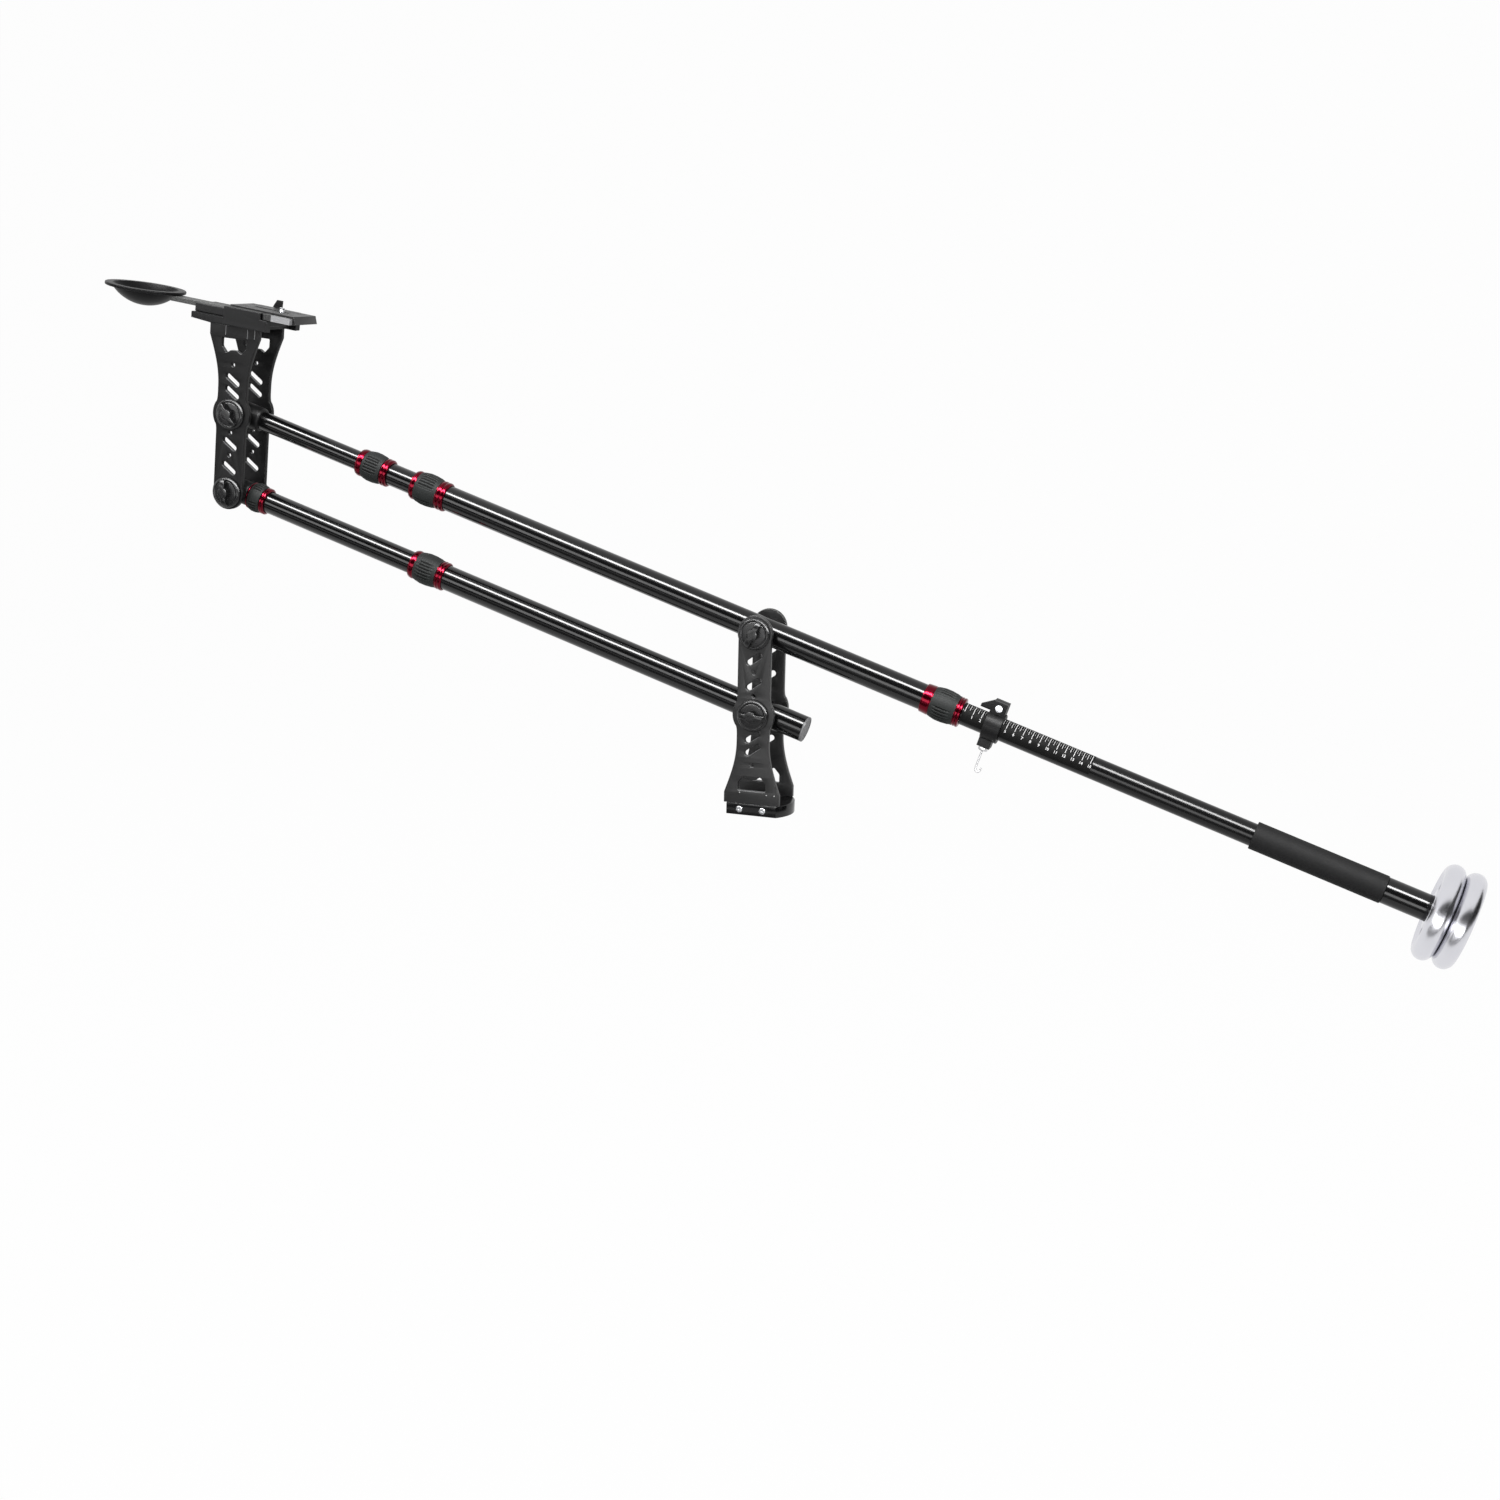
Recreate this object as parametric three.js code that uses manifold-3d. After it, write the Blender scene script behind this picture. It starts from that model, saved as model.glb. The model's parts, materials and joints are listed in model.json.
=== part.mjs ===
import * as THREE from 'three';
import { mergeVertices } from 'three/addons/utils/BufferGeometryUtils.js';
import Module from 'manifold-3d';

// Camera jib crane. Millimetres, +Z up, +X towards the counterweights.
// The origin is the middle of the underside, where a tripod holds the crane.
// Each arm has its own frame: x runs along the tube towards the counterweights, from the base pivot.
// The head has its own frame too: z runs up the head plates, from the upper head pivot.
// So has the platform on it: z = 0 is the top face of the head block, above the middle of the plates.

const degree = Math.PI / 180;
const seatGap = 0.3;
const runningGap = 0.2;
const cutOver = 1;
const weldTolerance = 0.0001;

// Attitude of the arms and of the head.
const restTilt = 18 * degree;
const headLean = 5 * degree;
const platformLean = 3.5 * degree;

// Base and side plates.
const panProud = 0.5;
const baseBlockHeight = 13.5;
const baseDiscRadius = 41.8;
const pivotSpacing = 94.3;
const plateReach = 104.5;
const plateInnerHalf = 23.3;
const plateThickness = 6;
const plateEndRadius = 20.6;
const plateNeckHalf = 19.4;
const plateBulgeRadius = 24.8;
const plateBulgeFoot = 24;
const plateKneeAngle = 60 * degree;
const plateWaistHalf = 19.2;
const plateWaistReach = 32;
const plateFlareHalf = 33.2;
const plateFlareStraight = 12.3;
const tongueHalf = 25;
const tongueThickness = 2.7;
const baseTongueLength = 10;
const headTongueLength = 4.5;
const baseBoltDrop = 6.5;
const headBoltDrop = 3;
const crossBoltHalfSpan = 13.8;
const crossBoltRadius = 1.75;
const crossBoltHeadRadius = 3.7;
const crossBoltHeadHeight = 1.6;
const crossBoltSocketRadius = 1.6;
const crossBoltSocketDepth = 1;
const crossNutRadius = 3.6;
const crossNutHeight = 2.6;

// Window, slots and round holes in each side plate.
const windowNear = 15.2;
const windowDepth = 17.5;
const windowHalf = 16.6;
const windowSideDrop = 10;
const windowPeakHalf = 10;
const windowNotchHalf = 4;
const windowNotchDepth = 4;
const slotHalfRun = 7.5;
const slotRadius = 3.3;
const slotLean = 35 * degree;
const smallHoleRadius = 2.4;
const innerSlotGap = 29.5;
const secondSlotGap = 58.5;
const innerHoleGap = 45;
const secondHoleGap = 72;

// Pivots.
const pivotBoltRadius = 4;
const pivotHoleRadius = 4.3;
const pivotNutRadius = 6.5;
const pivotNutHeight = 5;
const sleeveRadius = 7;
const openPivotPlay = 4;
const knobRadius = 18.6;
const knobDiscHeight = 5;
const knobRimInset = 2.2;
const knobHubRadius = 6.4;
const knobHeight = 13;
const wingLength = 32;
const wingThickness = 6.4;
const wingEndDrop = 4;
const knobBoreDepth = 9;
const boltEndGap = 0.3;

// Pan bush under the base.
const panFlangeRadius = 17;
const panFlangeThickness = 3;
const panStemRadius = 9;
const panThreadRadius = 4.7;
const panThreadDepth = 12;
const panNutRadius = 14;
const panNutHeight = 4;

// Telescopic tubes: radii, walls and ends along each arm.
const mainRadius = 15;
const midRadius = 13.3;
const thinRadius = 11.5;
const rulerRadius = 12.75;
const tubeWall = 1.5;
const clampSlitWidth = 2;
const clampSlitLength = 20;
const upperArmLength = 700;
const upperMainFront = -440;
const upperMainBack = 222;
const upperMidFront = -512;
const upperMidTail = 112;
const lowerMainFront = -442;
const lowerMainBack = 57.5;
const lowerMidInset = 14;
const lowerMidTail = 116.3;
const thinLength = 390;
const endPlugFlange = 2.5;
const endPlugSpigot = 12;

// Eyes that join the thin tubes to the head pivots.
const eyeRadius = 14.6;
const eyeEndLength = 14;
const upperEyeShoulder = 28;
const lowerEyeShoulder = 17;
const eyeSpigotLength = 25;
const eyeRound = 4;

// Twist locks. Each starts at its end nearest the camera, measured from the base pivot.
const upperFrontLock = {
  start: -534.2, firstRing: 7.9, grip: 24.7, lastRing: 9.1, gripRadius: 18.1, ringRadius: 16.6,
};
const upperRearLock = {
  start: -459.5, firstRing: 6.2, grip: 28.3, lastRing: 11, gripRadius: 19.3, ringRadius: 17.6,
};
const tailLock = {
  start: 201.3, firstRing: 11.1, grip: 29.1, lastRing: 7.3, gripRadius: 18.9, ringRadius: 17.2,
};
const lowerRearLock = {
  start: -462.2, firstRing: 7.2, grip: 29.3, lastRing: 9.1, gripRadius: 18.9, ringRadius: 17.4,
};
const headLock = { firstRing: 2.4, grip: 15.6, lastRing: 6.7, gripRadius: 18, ringRadius: 16.4 };
const headLockGap = 0.6;
const lockHubWall = 1.5;
const ringChamfer = 1.5;

// Rear tube, grip, sleeve, weights and cap.
const rulerFront = 60;
const rulerBack = 832.8;
const foamFront = 591.6;
const foamLength = 148;
const foamThickness = 2.9;
const weightSleeveRadius = 14.7;
const weightRadius = 54.5;
const weightThickness = 23;
const weightFront = 788;
const weightBoreGap = 0.5;
const weightHubRadius = 22;
const weightRimInner = 41;
const weightRecess = 4.5;
const weightHubInset = 1;
const capFlangeRadius = 20;
const capThickness = 3;
const capChamfer = 1;
const capSpigotLength = 18;

// Scale collar on the rear tube.
const collarFront = 276.4;
const collarLength = 19.4;
const collarWall = 4.6;
const earHalfThickness = 7.5;
const earLength = 16.5;
const earHeight = 12.5;
const earSlitWidth = 1.6;
const finLength = 14;
const finThickness = 5;
const finInset = 1;
const lugLength = 15;
const lugHalfThickness = 7;
const lugHeight = 8;
const lugShift = 2.2;
const collarScrewRadius = 2.4;
const collarScrewHeadRadius = 4.2;
const collarScrewHeadHeight = 3.4;
const collarScrewHeight = 6;
const hookDiscRadius = 5.6;
const hookDiscHeight = 4.5;
const hookWireRadius = 1.2;
const hookStemRadius = 2;
const hookStemLength = 7;
const hookDrop = 20;
const hookBendRadius = 3;
const hookBendDepth = 6;
const hookTipReach = 6;

// Head block, which turns the lean of the plates into that of the platform.
const headBlockHeight = 7.2;
const headBlockEdge = 7.4;
const headBlockFront = -59.5;
const headBlockBack = 40;

// Clamp, camera plate and the bowl in front, in the platform's frame.
const clampFront = -10;
const clampBack = 48;
const clampHalfWidth = 40;
const clampFloor = 9.9;
const clampHeight = 14.9;
const skirtDrop = 6.5;
const channelHalfWidth = 26.4;
const slidePlateBack = 75;
const slidePlateHeight = 6.2;
const slideLipDrop = 3;
const slideLipThickness = 3;
const slideLipSlant = 3;
const slideSlotFront = 8;
const slideSlotLength = 46;
const slideSlotHalf = 3.6;
const slideRecessHalf = 7.6;
const slideRecessDepth = 2.6;
const cameraScrewRadius = 3.1;
const cameraScrewHeadRadius = 6.8;
const cameraScrewHeadHeight = 1.8;
const cameraScrewProud = 4.8;
const cameraScrewPlace = 44;
const leverPivotInset = 4;
const leverReach = 29;
const leverHubRadius = 4.4;
const leverThickness = 6;
const leverHeight = 7.4;
const leverPlay = 0.6;
const leverSeat = 7.4;
const leverPinRadius = 1.8;
const leverPinDepth = 2.6;
const catchPlace = 19;
const catchRadius = 4.8;
const catchBaseHeight = 2;
const catchFinThickness = 3.6;
const catchFinHeight = 8;
const catchFinReach = 12;
const catchFinSlant = 5;
const frontBlockHalf = 22;
const frontBlockHeight = 9.8;
const barThickness = 6;
const barHalfWidth = 11;
const barBack = -22;
const barFloor = 3.9;
const bowlCentre = -143.2;
const bowlFlangeRadius = 48;
const bowlWallRadius = 42;
const bowlDepth = 23;
const bowlWall = 2.4;
const bowlFlangeThickness = 3.5;

// Round shapes: number of sides.
const tubeSides = 24;
const gripSides = 20;
const boltSides = 14;
const screwSides = 12;
const smallHoleSides = 8;
const hexSides = 6;
const weightSides = 32;
const discSteps = 5;
const plateCurveSteps = 3;
const slotSteps = 2;
const rimSteps = 4;
const bowlSteps = 6;
const wireSteps = 12;
const wireSides = 3;

// Places that follow from the sizes above.
const seamZ = panProud + baseBlockHeight;
const lowerPivotZ = seamZ + plateReach;
const upperPivotZ = lowerPivotZ + pivotSpacing;
const plateOuterHalf = plateInnerHalf + plateThickness;
const upperPivot = new THREE.Vector3(0, 0, upperPivotZ);
const lowerPivot = new THREE.Vector3(0, 0, lowerPivotZ);
const armDirection = new THREE.Vector3(Math.cos(restTilt), 0, -Math.sin(restTilt));
const headUp = new THREE.Vector3(Math.sin(headLean), 0, Math.cos(headLean));
const upperHeadPivot = upperPivot.clone().addScaledVector(armDirection, -upperArmLength);
const lowerHeadPivot = upperHeadPivot.clone().addScaledVector(headUp, -pivotSpacing);
const lowerArmVector = lowerPivot.clone().sub(lowerHeadPivot);
const lowerArmLength = lowerArmVector.length();
const lowerTilt = Math.atan2(-lowerArmVector.z, lowerArmVector.x);

const wasm = await Module();
wasm.setup();

// A closed geometry as a solid, with its faces turned outwards.
function solid(geometry) {
  const bare = geometry.clone();
  bare.deleteAttribute('normal');
  bare.deleteAttribute('uv');
  const merged = mergeVertices(bare, weldTolerance);
  const corners = merged.index.array;
  const places = merged.attributes.position.array;
  const point = (corner) => new THREE.Vector3().fromArray(places, corner * 3);
  const faces = [];
  let volume = 0;
  for (let k = 0; k < corners.length; k += 3) {
    const [a, b, c] = [corners[k], corners[k + 1], corners[k + 2]];
    if (a !== b && b !== c && c !== a) {
      faces.push(a, b, c);
      volume += point(a).dot(point(b).cross(point(c)));
    }
  }
  const ordered = volume < 0 ? faces.reverse() : faces;
  return new wasm.Manifold(new wasm.Mesh({
    numProp: 3,
    vertProperties: new Float32Array(places),
    triVerts: new Uint32Array(ordered),
  }));
}

// A solid back as a geometry for its mesh.
function geometryOf(body) {
  const mesh = body.getMesh();
  const geometry = new THREE.BufferGeometry();
  geometry.setAttribute('position', new THREE.BufferAttribute(new Float32Array(mesh.vertProperties), 3));
  geometry.setIndex(new THREE.BufferAttribute(new Uint32Array(mesh.triVerts), 1));
  geometry.computeVertexNormals();
  return geometry;
}

// Round piece about the z axis; the outline is a list of radius and height pairs.
function turned(outline, sides) {
  const profile = outline.map(([radius, height]) => new THREE.Vector2(radius, height));
  return new THREE.LatheGeometry(profile, sides).rotateX(Math.PI / 2);
}

// Closed ring outline: from one height to another, between two radii.
function ringOutline(inner, outer, low, high) {
  return [[inner, low], [outer, low], [outer, high], [inner, high], [inner, low]];
}

function pinOutline(radius, low, high) {
  return [[0, low], [radius, low], [radius, high], [0, high]];
}

// The same pieces laid along the x axis or along the y axis.
const alongX = (geometry) => geometry.rotateY(Math.PI / 2);
const alongY = (geometry) => geometry.rotateX(-Math.PI / 2);

function pinX(radius, low, high, sides) {
  return alongX(turned(pinOutline(radius, low, high), sides));
}

function pinY(radius, low, high, sides) {
  return alongY(turned(pinOutline(radius, low, high), sides));
}

function box(x0, x1, y0, y1, z0, z1) {
  const geometry = new THREE.BoxGeometry(x1 - x0, y1 - y0, z1 - z0);
  return geometry.translate((x0 + x1) / 2, (y0 + y1) / 2, (z0 + z1) / 2);
}

// A flat outline in x and z, given thickness along y.
function slab(shape, y0, y1, divisions) {
  const geometry = new THREE.ExtrudeGeometry(shape, {
    depth: y1 - y0, bevelEnabled: false, curveSegments: divisions,
  });
  return geometry.rotateX(Math.PI / 2).translate(0, y1, 0);
}

function joined(first, ...others) {
  return others.reduce((sum, other) => sum.add(solid(other)), solid(first));
}

function cut(body, ...tools) {
  return tools.reduce((rest, tool) => rest.subtract(solid(tool)), body);
}

// Finishes.
const finish = (color, roughness, metalness) => (
  new THREE.MeshStandardMaterial({ color, roughness, metalness }));
const plateBlack = finish(0x2b2b2d, 0.5, 0.3);
const glossBlack = finish(0x141416, 0.18, 0.6);
const knobBlack = finish(0x19191b, 0.35, 0);
const rubberBlack = finish(0x2c302f, 0.75, 0);
const anodisedRed = finish(0x9c0a24, 0.25, 0.8);
const steel = finish(0xb9bbbe, 0.3, 0.9);
const machinedSilver = finish(0xc6c7c9, 0.35, 0.8);
const foamBlack = finish(0x262627, 0.95, 0);
const chrome = finish(0xdcdce2, 0.12, 1);

const crane = new THREE.Group();
const upperArm = new THREE.Group();
upperArm.position.copy(upperPivot);
upperArm.rotation.y = restTilt;
const lowerArm = new THREE.Group();
lowerArm.position.copy(lowerPivot);
lowerArm.rotation.y = lowerTilt;
const head = new THREE.Group();
head.position.copy(upperHeadPivot);
head.rotation.y = headLean;
crane.add(upperArm, lowerArm, head);

function place(group, name, geometry, material) {
  const mesh = new THREE.Mesh(geometry, material);
  mesh.name = name;
  group.add(mesh);
  return mesh;
}

// Pan bush and nut: the only pieces that stay with the tripod.
function panBush() {
  const top = seamZ + seatGap + panNutHeight;
  return geometryOf(solid(turned([
    [0, panThreadDepth], [panThreadRadius, panThreadDepth], [panThreadRadius, 0],
    [panFlangeRadius, 0], [panFlangeRadius, panFlangeThickness],
    [panStemRadius, panFlangeThickness], [panStemRadius, top], [0, top],
  ], tubeSides)));
}

function panNut() {
  const low = seamZ + seatGap;
  const body = solid(turned(pinOutline(panNutRadius, low, low + panNutHeight), hexSides));
  return geometryOf(cut(body, turned(
    pinOutline(panStemRadius + seatGap, low - cutOver, low + panNutHeight + cutOver), tubeSides)));
}

place(crane, 'pan_bush', panBush(), steel);
place(crane, 'pan_nut', panNut(), machinedSilver);

// Grooves that take the tongues of both plates, and the cross bolt holes, in a block.
// The seam is where the plates meet the block; side is +1 where the block lies above it.
function blockCuts(seam, side, tongueLength, boltDrop) {
  const cuts = [];
  const reach = plateOuterHalf + cutOver;
  const grooveEnd = seam + side * (tongueLength + seatGap);
  const low = Math.min(seam - side * cutOver, grooveEnd);
  const high = Math.max(seam - side * cutOver, grooveEnd);
  const half = tongueHalf + seatGap;
  const inner = plateInnerHalf - seatGap;
  const outer = plateInnerHalf + tongueThickness + seatGap;
  cuts.push(box(-half, half, inner, outer, low, high));
  cuts.push(box(-half, half, -outer, -inner, low, high));
  for (const x of [-crossBoltHalfSpan, crossBoltHalfSpan]) {
    const hole = pinY(crossBoltRadius + seatGap, -reach, reach, screwSides);
    cuts.push(hole.translate(x, 0, seam + side * boltDrop));
  }
  return cuts;
}

// Disc with flat front and back, and a flat left end between their corners.
function baseBlock() {
  const flatAngle = Math.asin(plateOuterHalf / baseDiscRadius);
  const outline = new THREE.Shape();
  outline.absarc(0, 0, baseDiscRadius, -flatAngle, flatAngle, false);
  outline.lineTo(-baseDiscRadius * Math.cos(flatAngle), plateOuterHalf);
  outline.lineTo(-baseDiscRadius * Math.cos(flatAngle), -plateOuterHalf);
  const body = new THREE.ExtrudeGeometry(outline, {
    depth: baseBlockHeight, bevelEnabled: false, curveSegments: discSteps,
  }).translate(0, 0, panProud);
  const recessTop = panFlangeThickness + seatGap;
  const recess = turned(pinOutline(panFlangeRadius + seatGap, -cutOver, recessTop), tubeSides);
  const bore = turned(pinOutline(panStemRadius + seatGap, -cutOver, seamZ + cutOver), tubeSides);
  const grooves = blockCuts(seamZ, -1, baseTongueLength, baseBoltDrop);
  return geometryOf(cut(solid(body), recess, bore, ...grooves));
}

place(crane, 'base_block', baseBlock(), glossBlack);

// Shares of the room between the outer bulge and the window: slots and round hole.
const outerSlotShares = [0.355, 0.564];
const outerHoleShare = 0.815;

// Control points of the flare: how far along from the waist, and how much of the widening.
const flareShares = [[0.374, 0], [0.668, 0.486]];

// Outline of a side plate: x across it, y along it from the pivot at its round end to the flare.
function plateShape() {
  const seam = pivotSpacing + plateReach;
  const roundEnd = Math.acos(plateNeckHalf / plateEndRadius);
  const kneeHalf = plateBulgeRadius * Math.sin(plateKneeAngle);
  const kneeRun = plateBulgeRadius * Math.cos(plateKneeAngle);
  const knee = kneeRun + (kneeHalf - plateNeckHalf) / Math.tan(plateKneeAngle);
  const flareStart = seam - plateFlareStraight;
  const waistEnd = pivotSpacing + plateWaistReach;
  const [first, second] = flareShares.map(([along, widened]) => new THREE.Vector2(
    plateWaistHalf + (plateFlareHalf - plateWaistHalf) * widened,
    waistEnd + (flareStart - waistEnd) * along));
  const edge = new THREE.Path();
  edge.moveTo(0, -plateEndRadius);
  edge.absarc(0, 0, plateEndRadius, -Math.PI / 2, roundEnd, false);
  edge.lineTo(plateNeckHalf, pivotSpacing - plateBulgeFoot);
  edge.quadraticCurveTo(plateNeckHalf, pivotSpacing - knee, kneeHalf, pivotSpacing - kneeRun);
  edge.absarc(0, pivotSpacing, plateBulgeRadius,
    plateKneeAngle - Math.PI / 2, Math.PI / 2 - plateKneeAngle, false);
  edge.quadraticCurveTo(plateWaistHalf, pivotSpacing + knee, plateWaistHalf, pivotSpacing + plateBulgeFoot);
  edge.lineTo(plateWaistHalf, waistEnd);
  edge.bezierCurveTo(first.x, first.y, second.x, second.y, plateFlareHalf, flareStart);
  edge.lineTo(plateFlareHalf, seam);
  const right = edge.getPoints(plateCurveSteps);
  const left = right.slice(1).reverse().map((point) => new THREE.Vector2(-point.x, point.y));
  return [...right, ...left];
}

function slotPath(centre, lean) {
  const path = new THREE.Path();
  const run = new THREE.Vector2(Math.cos(lean), Math.sin(lean)).multiplyScalar(slotHalfRun);
  path.absarc(run.x, centre + run.y, slotRadius, lean - Math.PI / 2, lean + Math.PI / 2, false);
  path.absarc(-run.x, centre - run.y, slotRadius, lean + Math.PI / 2, lean + 3 * Math.PI / 2, false);
  path.closePath();
  return path;
}

function holePath(centre, radius, sides) {
  const circle = new THREE.Path().absarc(0, centre, radius, 0, 2 * Math.PI, false);
  return new THREE.Path(circle.getPoints(sides / 2).slice(1));
}

// Side plate with the flare upwards and slots that fall to the right.
// It is moved down at the end, so that the pivot in its bulge is at z = 0.
function sidePlate(front, tongueLength, boltDrop) {
  const seam = pivotSpacing + plateReach;
  const shape = new THREE.Shape(plateShape());
  const near = seam - windowNear;
  const far = near - windowDepth;
  shape.holes.push(new THREE.Path([
    new THREE.Vector2(-windowHalf, near), new THREE.Vector2(windowHalf, near),
    new THREE.Vector2(windowHalf, near - windowSideDrop), new THREE.Vector2(windowPeakHalf, far),
    new THREE.Vector2(windowNotchHalf, far + windowNotchDepth),
    new THREE.Vector2(-windowNotchHalf, far + windowNotchDepth),
    new THREE.Vector2(-windowPeakHalf, far), new THREE.Vector2(-windowHalf, near - windowSideDrop),
  ]));
  const outerRoom = far - pivotSpacing;
  const outerSlots = outerSlotShares.map((share) => pivotSpacing + outerRoom * share);
  for (const centre of [innerSlotGap, secondSlotGap, ...outerSlots]) {
    shape.holes.push(slotPath(centre, -slotLean));
  }
  for (const centre of [innerHoleGap, secondHoleGap, pivotSpacing + outerRoom * outerHoleShare]) {
    shape.holes.push(holePath(centre, smallHoleRadius, smallHoleSides));
  }
  for (const centre of [0, pivotSpacing]) {
    shape.holes.push(holePath(centre, pivotHoleRadius, screwSides));
  }
  const y0 = front ? -plateOuterHalf : plateInnerHalf;
  const body = slab(shape, y0, y0 + plateThickness, slotSteps);
  const tongueOuter = plateInnerHalf + tongueThickness;
  const tongueY = front ? -tongueOuter : plateInnerHalf;
  const tongue = box(-tongueHalf, tongueHalf, tongueY, tongueY + tongueThickness,
    seam - cutOver, seam + tongueLength);
  const plate = solid(body).add(solid(tongue));
  const reach = plateOuterHalf + cutOver;
  const holes = [-crossBoltHalfSpan, crossBoltHalfSpan].map((x) => (
    pinY(crossBoltRadius + seatGap, -reach, reach, screwSides).translate(x, 0, seam + boltDrop)));
  return geometryOf(cut(plate, ...holes)).translate(0, 0, -pivotSpacing);
}

// The base plates are the same plate turned upside down, about the bulge at the lower pivot.
const basePlates = new THREE.Group();
basePlates.position.copy(lowerPivot);
basePlates.rotation.x = Math.PI;
crane.add(basePlates);
const basePlate = (front) => sidePlate(front, baseTongueLength - seatGap, baseBoltDrop);
const headPlate = (front) => sidePlate(front, headTongueLength - seatGap, headBoltDrop);
place(basePlates, 'base_plate_front', basePlate(false), plateBlack);
place(basePlates, 'base_plate_back', basePlate(true), plateBlack);
place(head, 'head_plate_front', headPlate(true), plateBlack);
place(head, 'head_plate_back', headPlate(false), plateBlack);

// Cross bolt with a socket head in front and a nut behind.
function crossBolt() {
  const headBack = plateOuterHalf + seatGap;
  const bolt = joined(
    pinY(crossBoltRadius, -headBack - cutOver, headBack + crossNutHeight, screwSides),
    pinY(crossBoltHeadRadius, -headBack - crossBoltHeadHeight, -headBack, boltSides),
    pinY(crossNutRadius, headBack, headBack + crossNutHeight, hexSides),
  );
  const faceY = -headBack - crossBoltHeadHeight;
  return geometryOf(cut(bolt,
    pinY(crossBoltSocketRadius, faceY - cutOver, faceY + crossBoltSocketDepth, hexSides)));
}

// Pin flush with both faces of the head block, so that the clamp's skirts clear it.
function crossPin() {
  const half = plateOuterHalf - seatGap;
  return geometryOf(solid(pinY(crossBoltRadius, -half, half, screwSides)));
}

[-1, 1].forEach((side, index) => {
  const x = side * crossBoltHalfSpan;
  place(crane, `base_cross_bolt_${index + 1}`, crossBolt(), steel)
    .position.set(x, 0, seamZ - baseBoltDrop);
  place(head, `head_cross_pin_${index + 1}`, crossPin(), steel)
    .position.set(x, 0, plateReach + headBoltDrop);
});

// Pivot bolt through both plates, its round nut behind.
function pivotBolt() {
  const front = plateOuterHalf + seatGap + knobBoreDepth - boltEndGap;
  const back = plateOuterHalf + seatGap;
  return geometryOf(joined(
    pinY(pivotBoltRadius, -front, back + cutOver, boltSides),
    pinY(pivotNutRadius, back, back + pivotNutHeight, hexSides),
  ));
}

function pivotSleeve() {
  const half = plateInnerHalf - seatGap;
  return geometryOf(solid(alongY(turned(
    ringOutline(pivotBoltRadius + seatGap, sleeveRadius, -half, half), gripSides))));
}

// Knob with a wing across it; it screws on the pivot bolt from the front.
function wingKnob(turn) {
  const seat = plateOuterHalf + seatGap;
  const discFace = -seat - knobDiscHeight;
  const face = -seat - knobHeight;
  const disc = alongY(turned([
    [0, discFace], [knobRadius - knobRimInset, discFace], [knobRadius, discFace + knobRimInset],
    [knobRadius, -seat], [0, -seat],
  ], tubeSides));
  const hub = pinY(knobHubRadius, face, -seat - cutOver, gripSides);
  const wing = new THREE.Shape();
  const half = wingLength / 2;
  wing.moveTo(-half, discFace + cutOver);
  wing.lineTo(-half, face + wingEndDrop);
  wing.lineTo(-half / 2, face);
  wing.lineTo(half / 2, face);
  wing.lineTo(half, face + wingEndDrop);
  wing.lineTo(half, discFace + cutOver);
  wing.closePath();
  const wingBody = new THREE.ExtrudeGeometry(wing, { depth: wingThickness, bevelEnabled: false });
  wingBody.translate(0, 0, -wingThickness / 2);
  const knob = joined(disc, hub, wingBody.rotateY(turn));
  return geometryOf(cut(knob, pinY(pivotHoleRadius, -seat - knobBoreDepth, -seat + cutOver, boltSides)));
}

const pivots = [
  { name: 'base_upper', group: crane, at: upperPivot, turn: -62 * degree },
  { name: 'base_lower', group: crane, at: lowerPivot, turn: 4 * degree },
  { name: 'head_upper', group: head, at: new THREE.Vector3(), turn: 52 * degree },
  { name: 'head_lower', group: head, at: new THREE.Vector3(0, 0, -pivotSpacing), turn: 82 * degree },
];
for (const { name, group, at, turn } of pivots) {
  place(group, `${name}_bolt`, pivotBolt(), steel).position.copy(at);
  place(group, `${name}_knob`, wingKnob(turn), knobBlack).position.copy(at);
}
place(upperArm, 'base_upper_sleeve', pivotSleeve(), steel);
place(lowerArm, 'base_lower_sleeve', pivotSleeve(), steel);
place(upperArm, 'head_upper_sleeve', pivotSleeve(), steel).position.x = -upperArmLength;
place(head, 'head_lower_sleeve', pivotSleeve(), steel).position.z = -pivotSpacing;

// Tubes along the arms, with slits where a twist lock squeezes them.
function tube(radius, front, back, slits) {
  const body = solid(alongX(turned(ringOutline(radius - tubeWall, radius, front, back), tubeSides)));
  const half = clampSlitWidth / 2;
  const tools = slits.map((end) => {
    const low = end === front ? end - cutOver : end - clampSlitLength;
    return box(low, low + clampSlitLength + cutOver, -half, half, -radius - cutOver, radius + cutOver);
  });
  return cut(body, ...tools);
}

function mainTube(front, back, slits) {
  const reach = mainRadius + cutOver;
  const hole = pinY(sleeveRadius + seatGap, -reach, reach, gripSides);
  return geometryOf(cut(tube(mainRadius, front, back, slits), hole));
}

const lowerTubeBack = lowerMainBack - endPlugFlange - seatGap;
place(upperArm, 'upper_main_tube',
  mainTube(upperMainFront, upperMainBack, [upperMainFront, upperMainBack]), glossBlack);
place(lowerArm, 'lower_main_tube',
  mainTube(lowerMainFront, lowerTubeBack, [lowerMainFront]), glossBlack);

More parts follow.
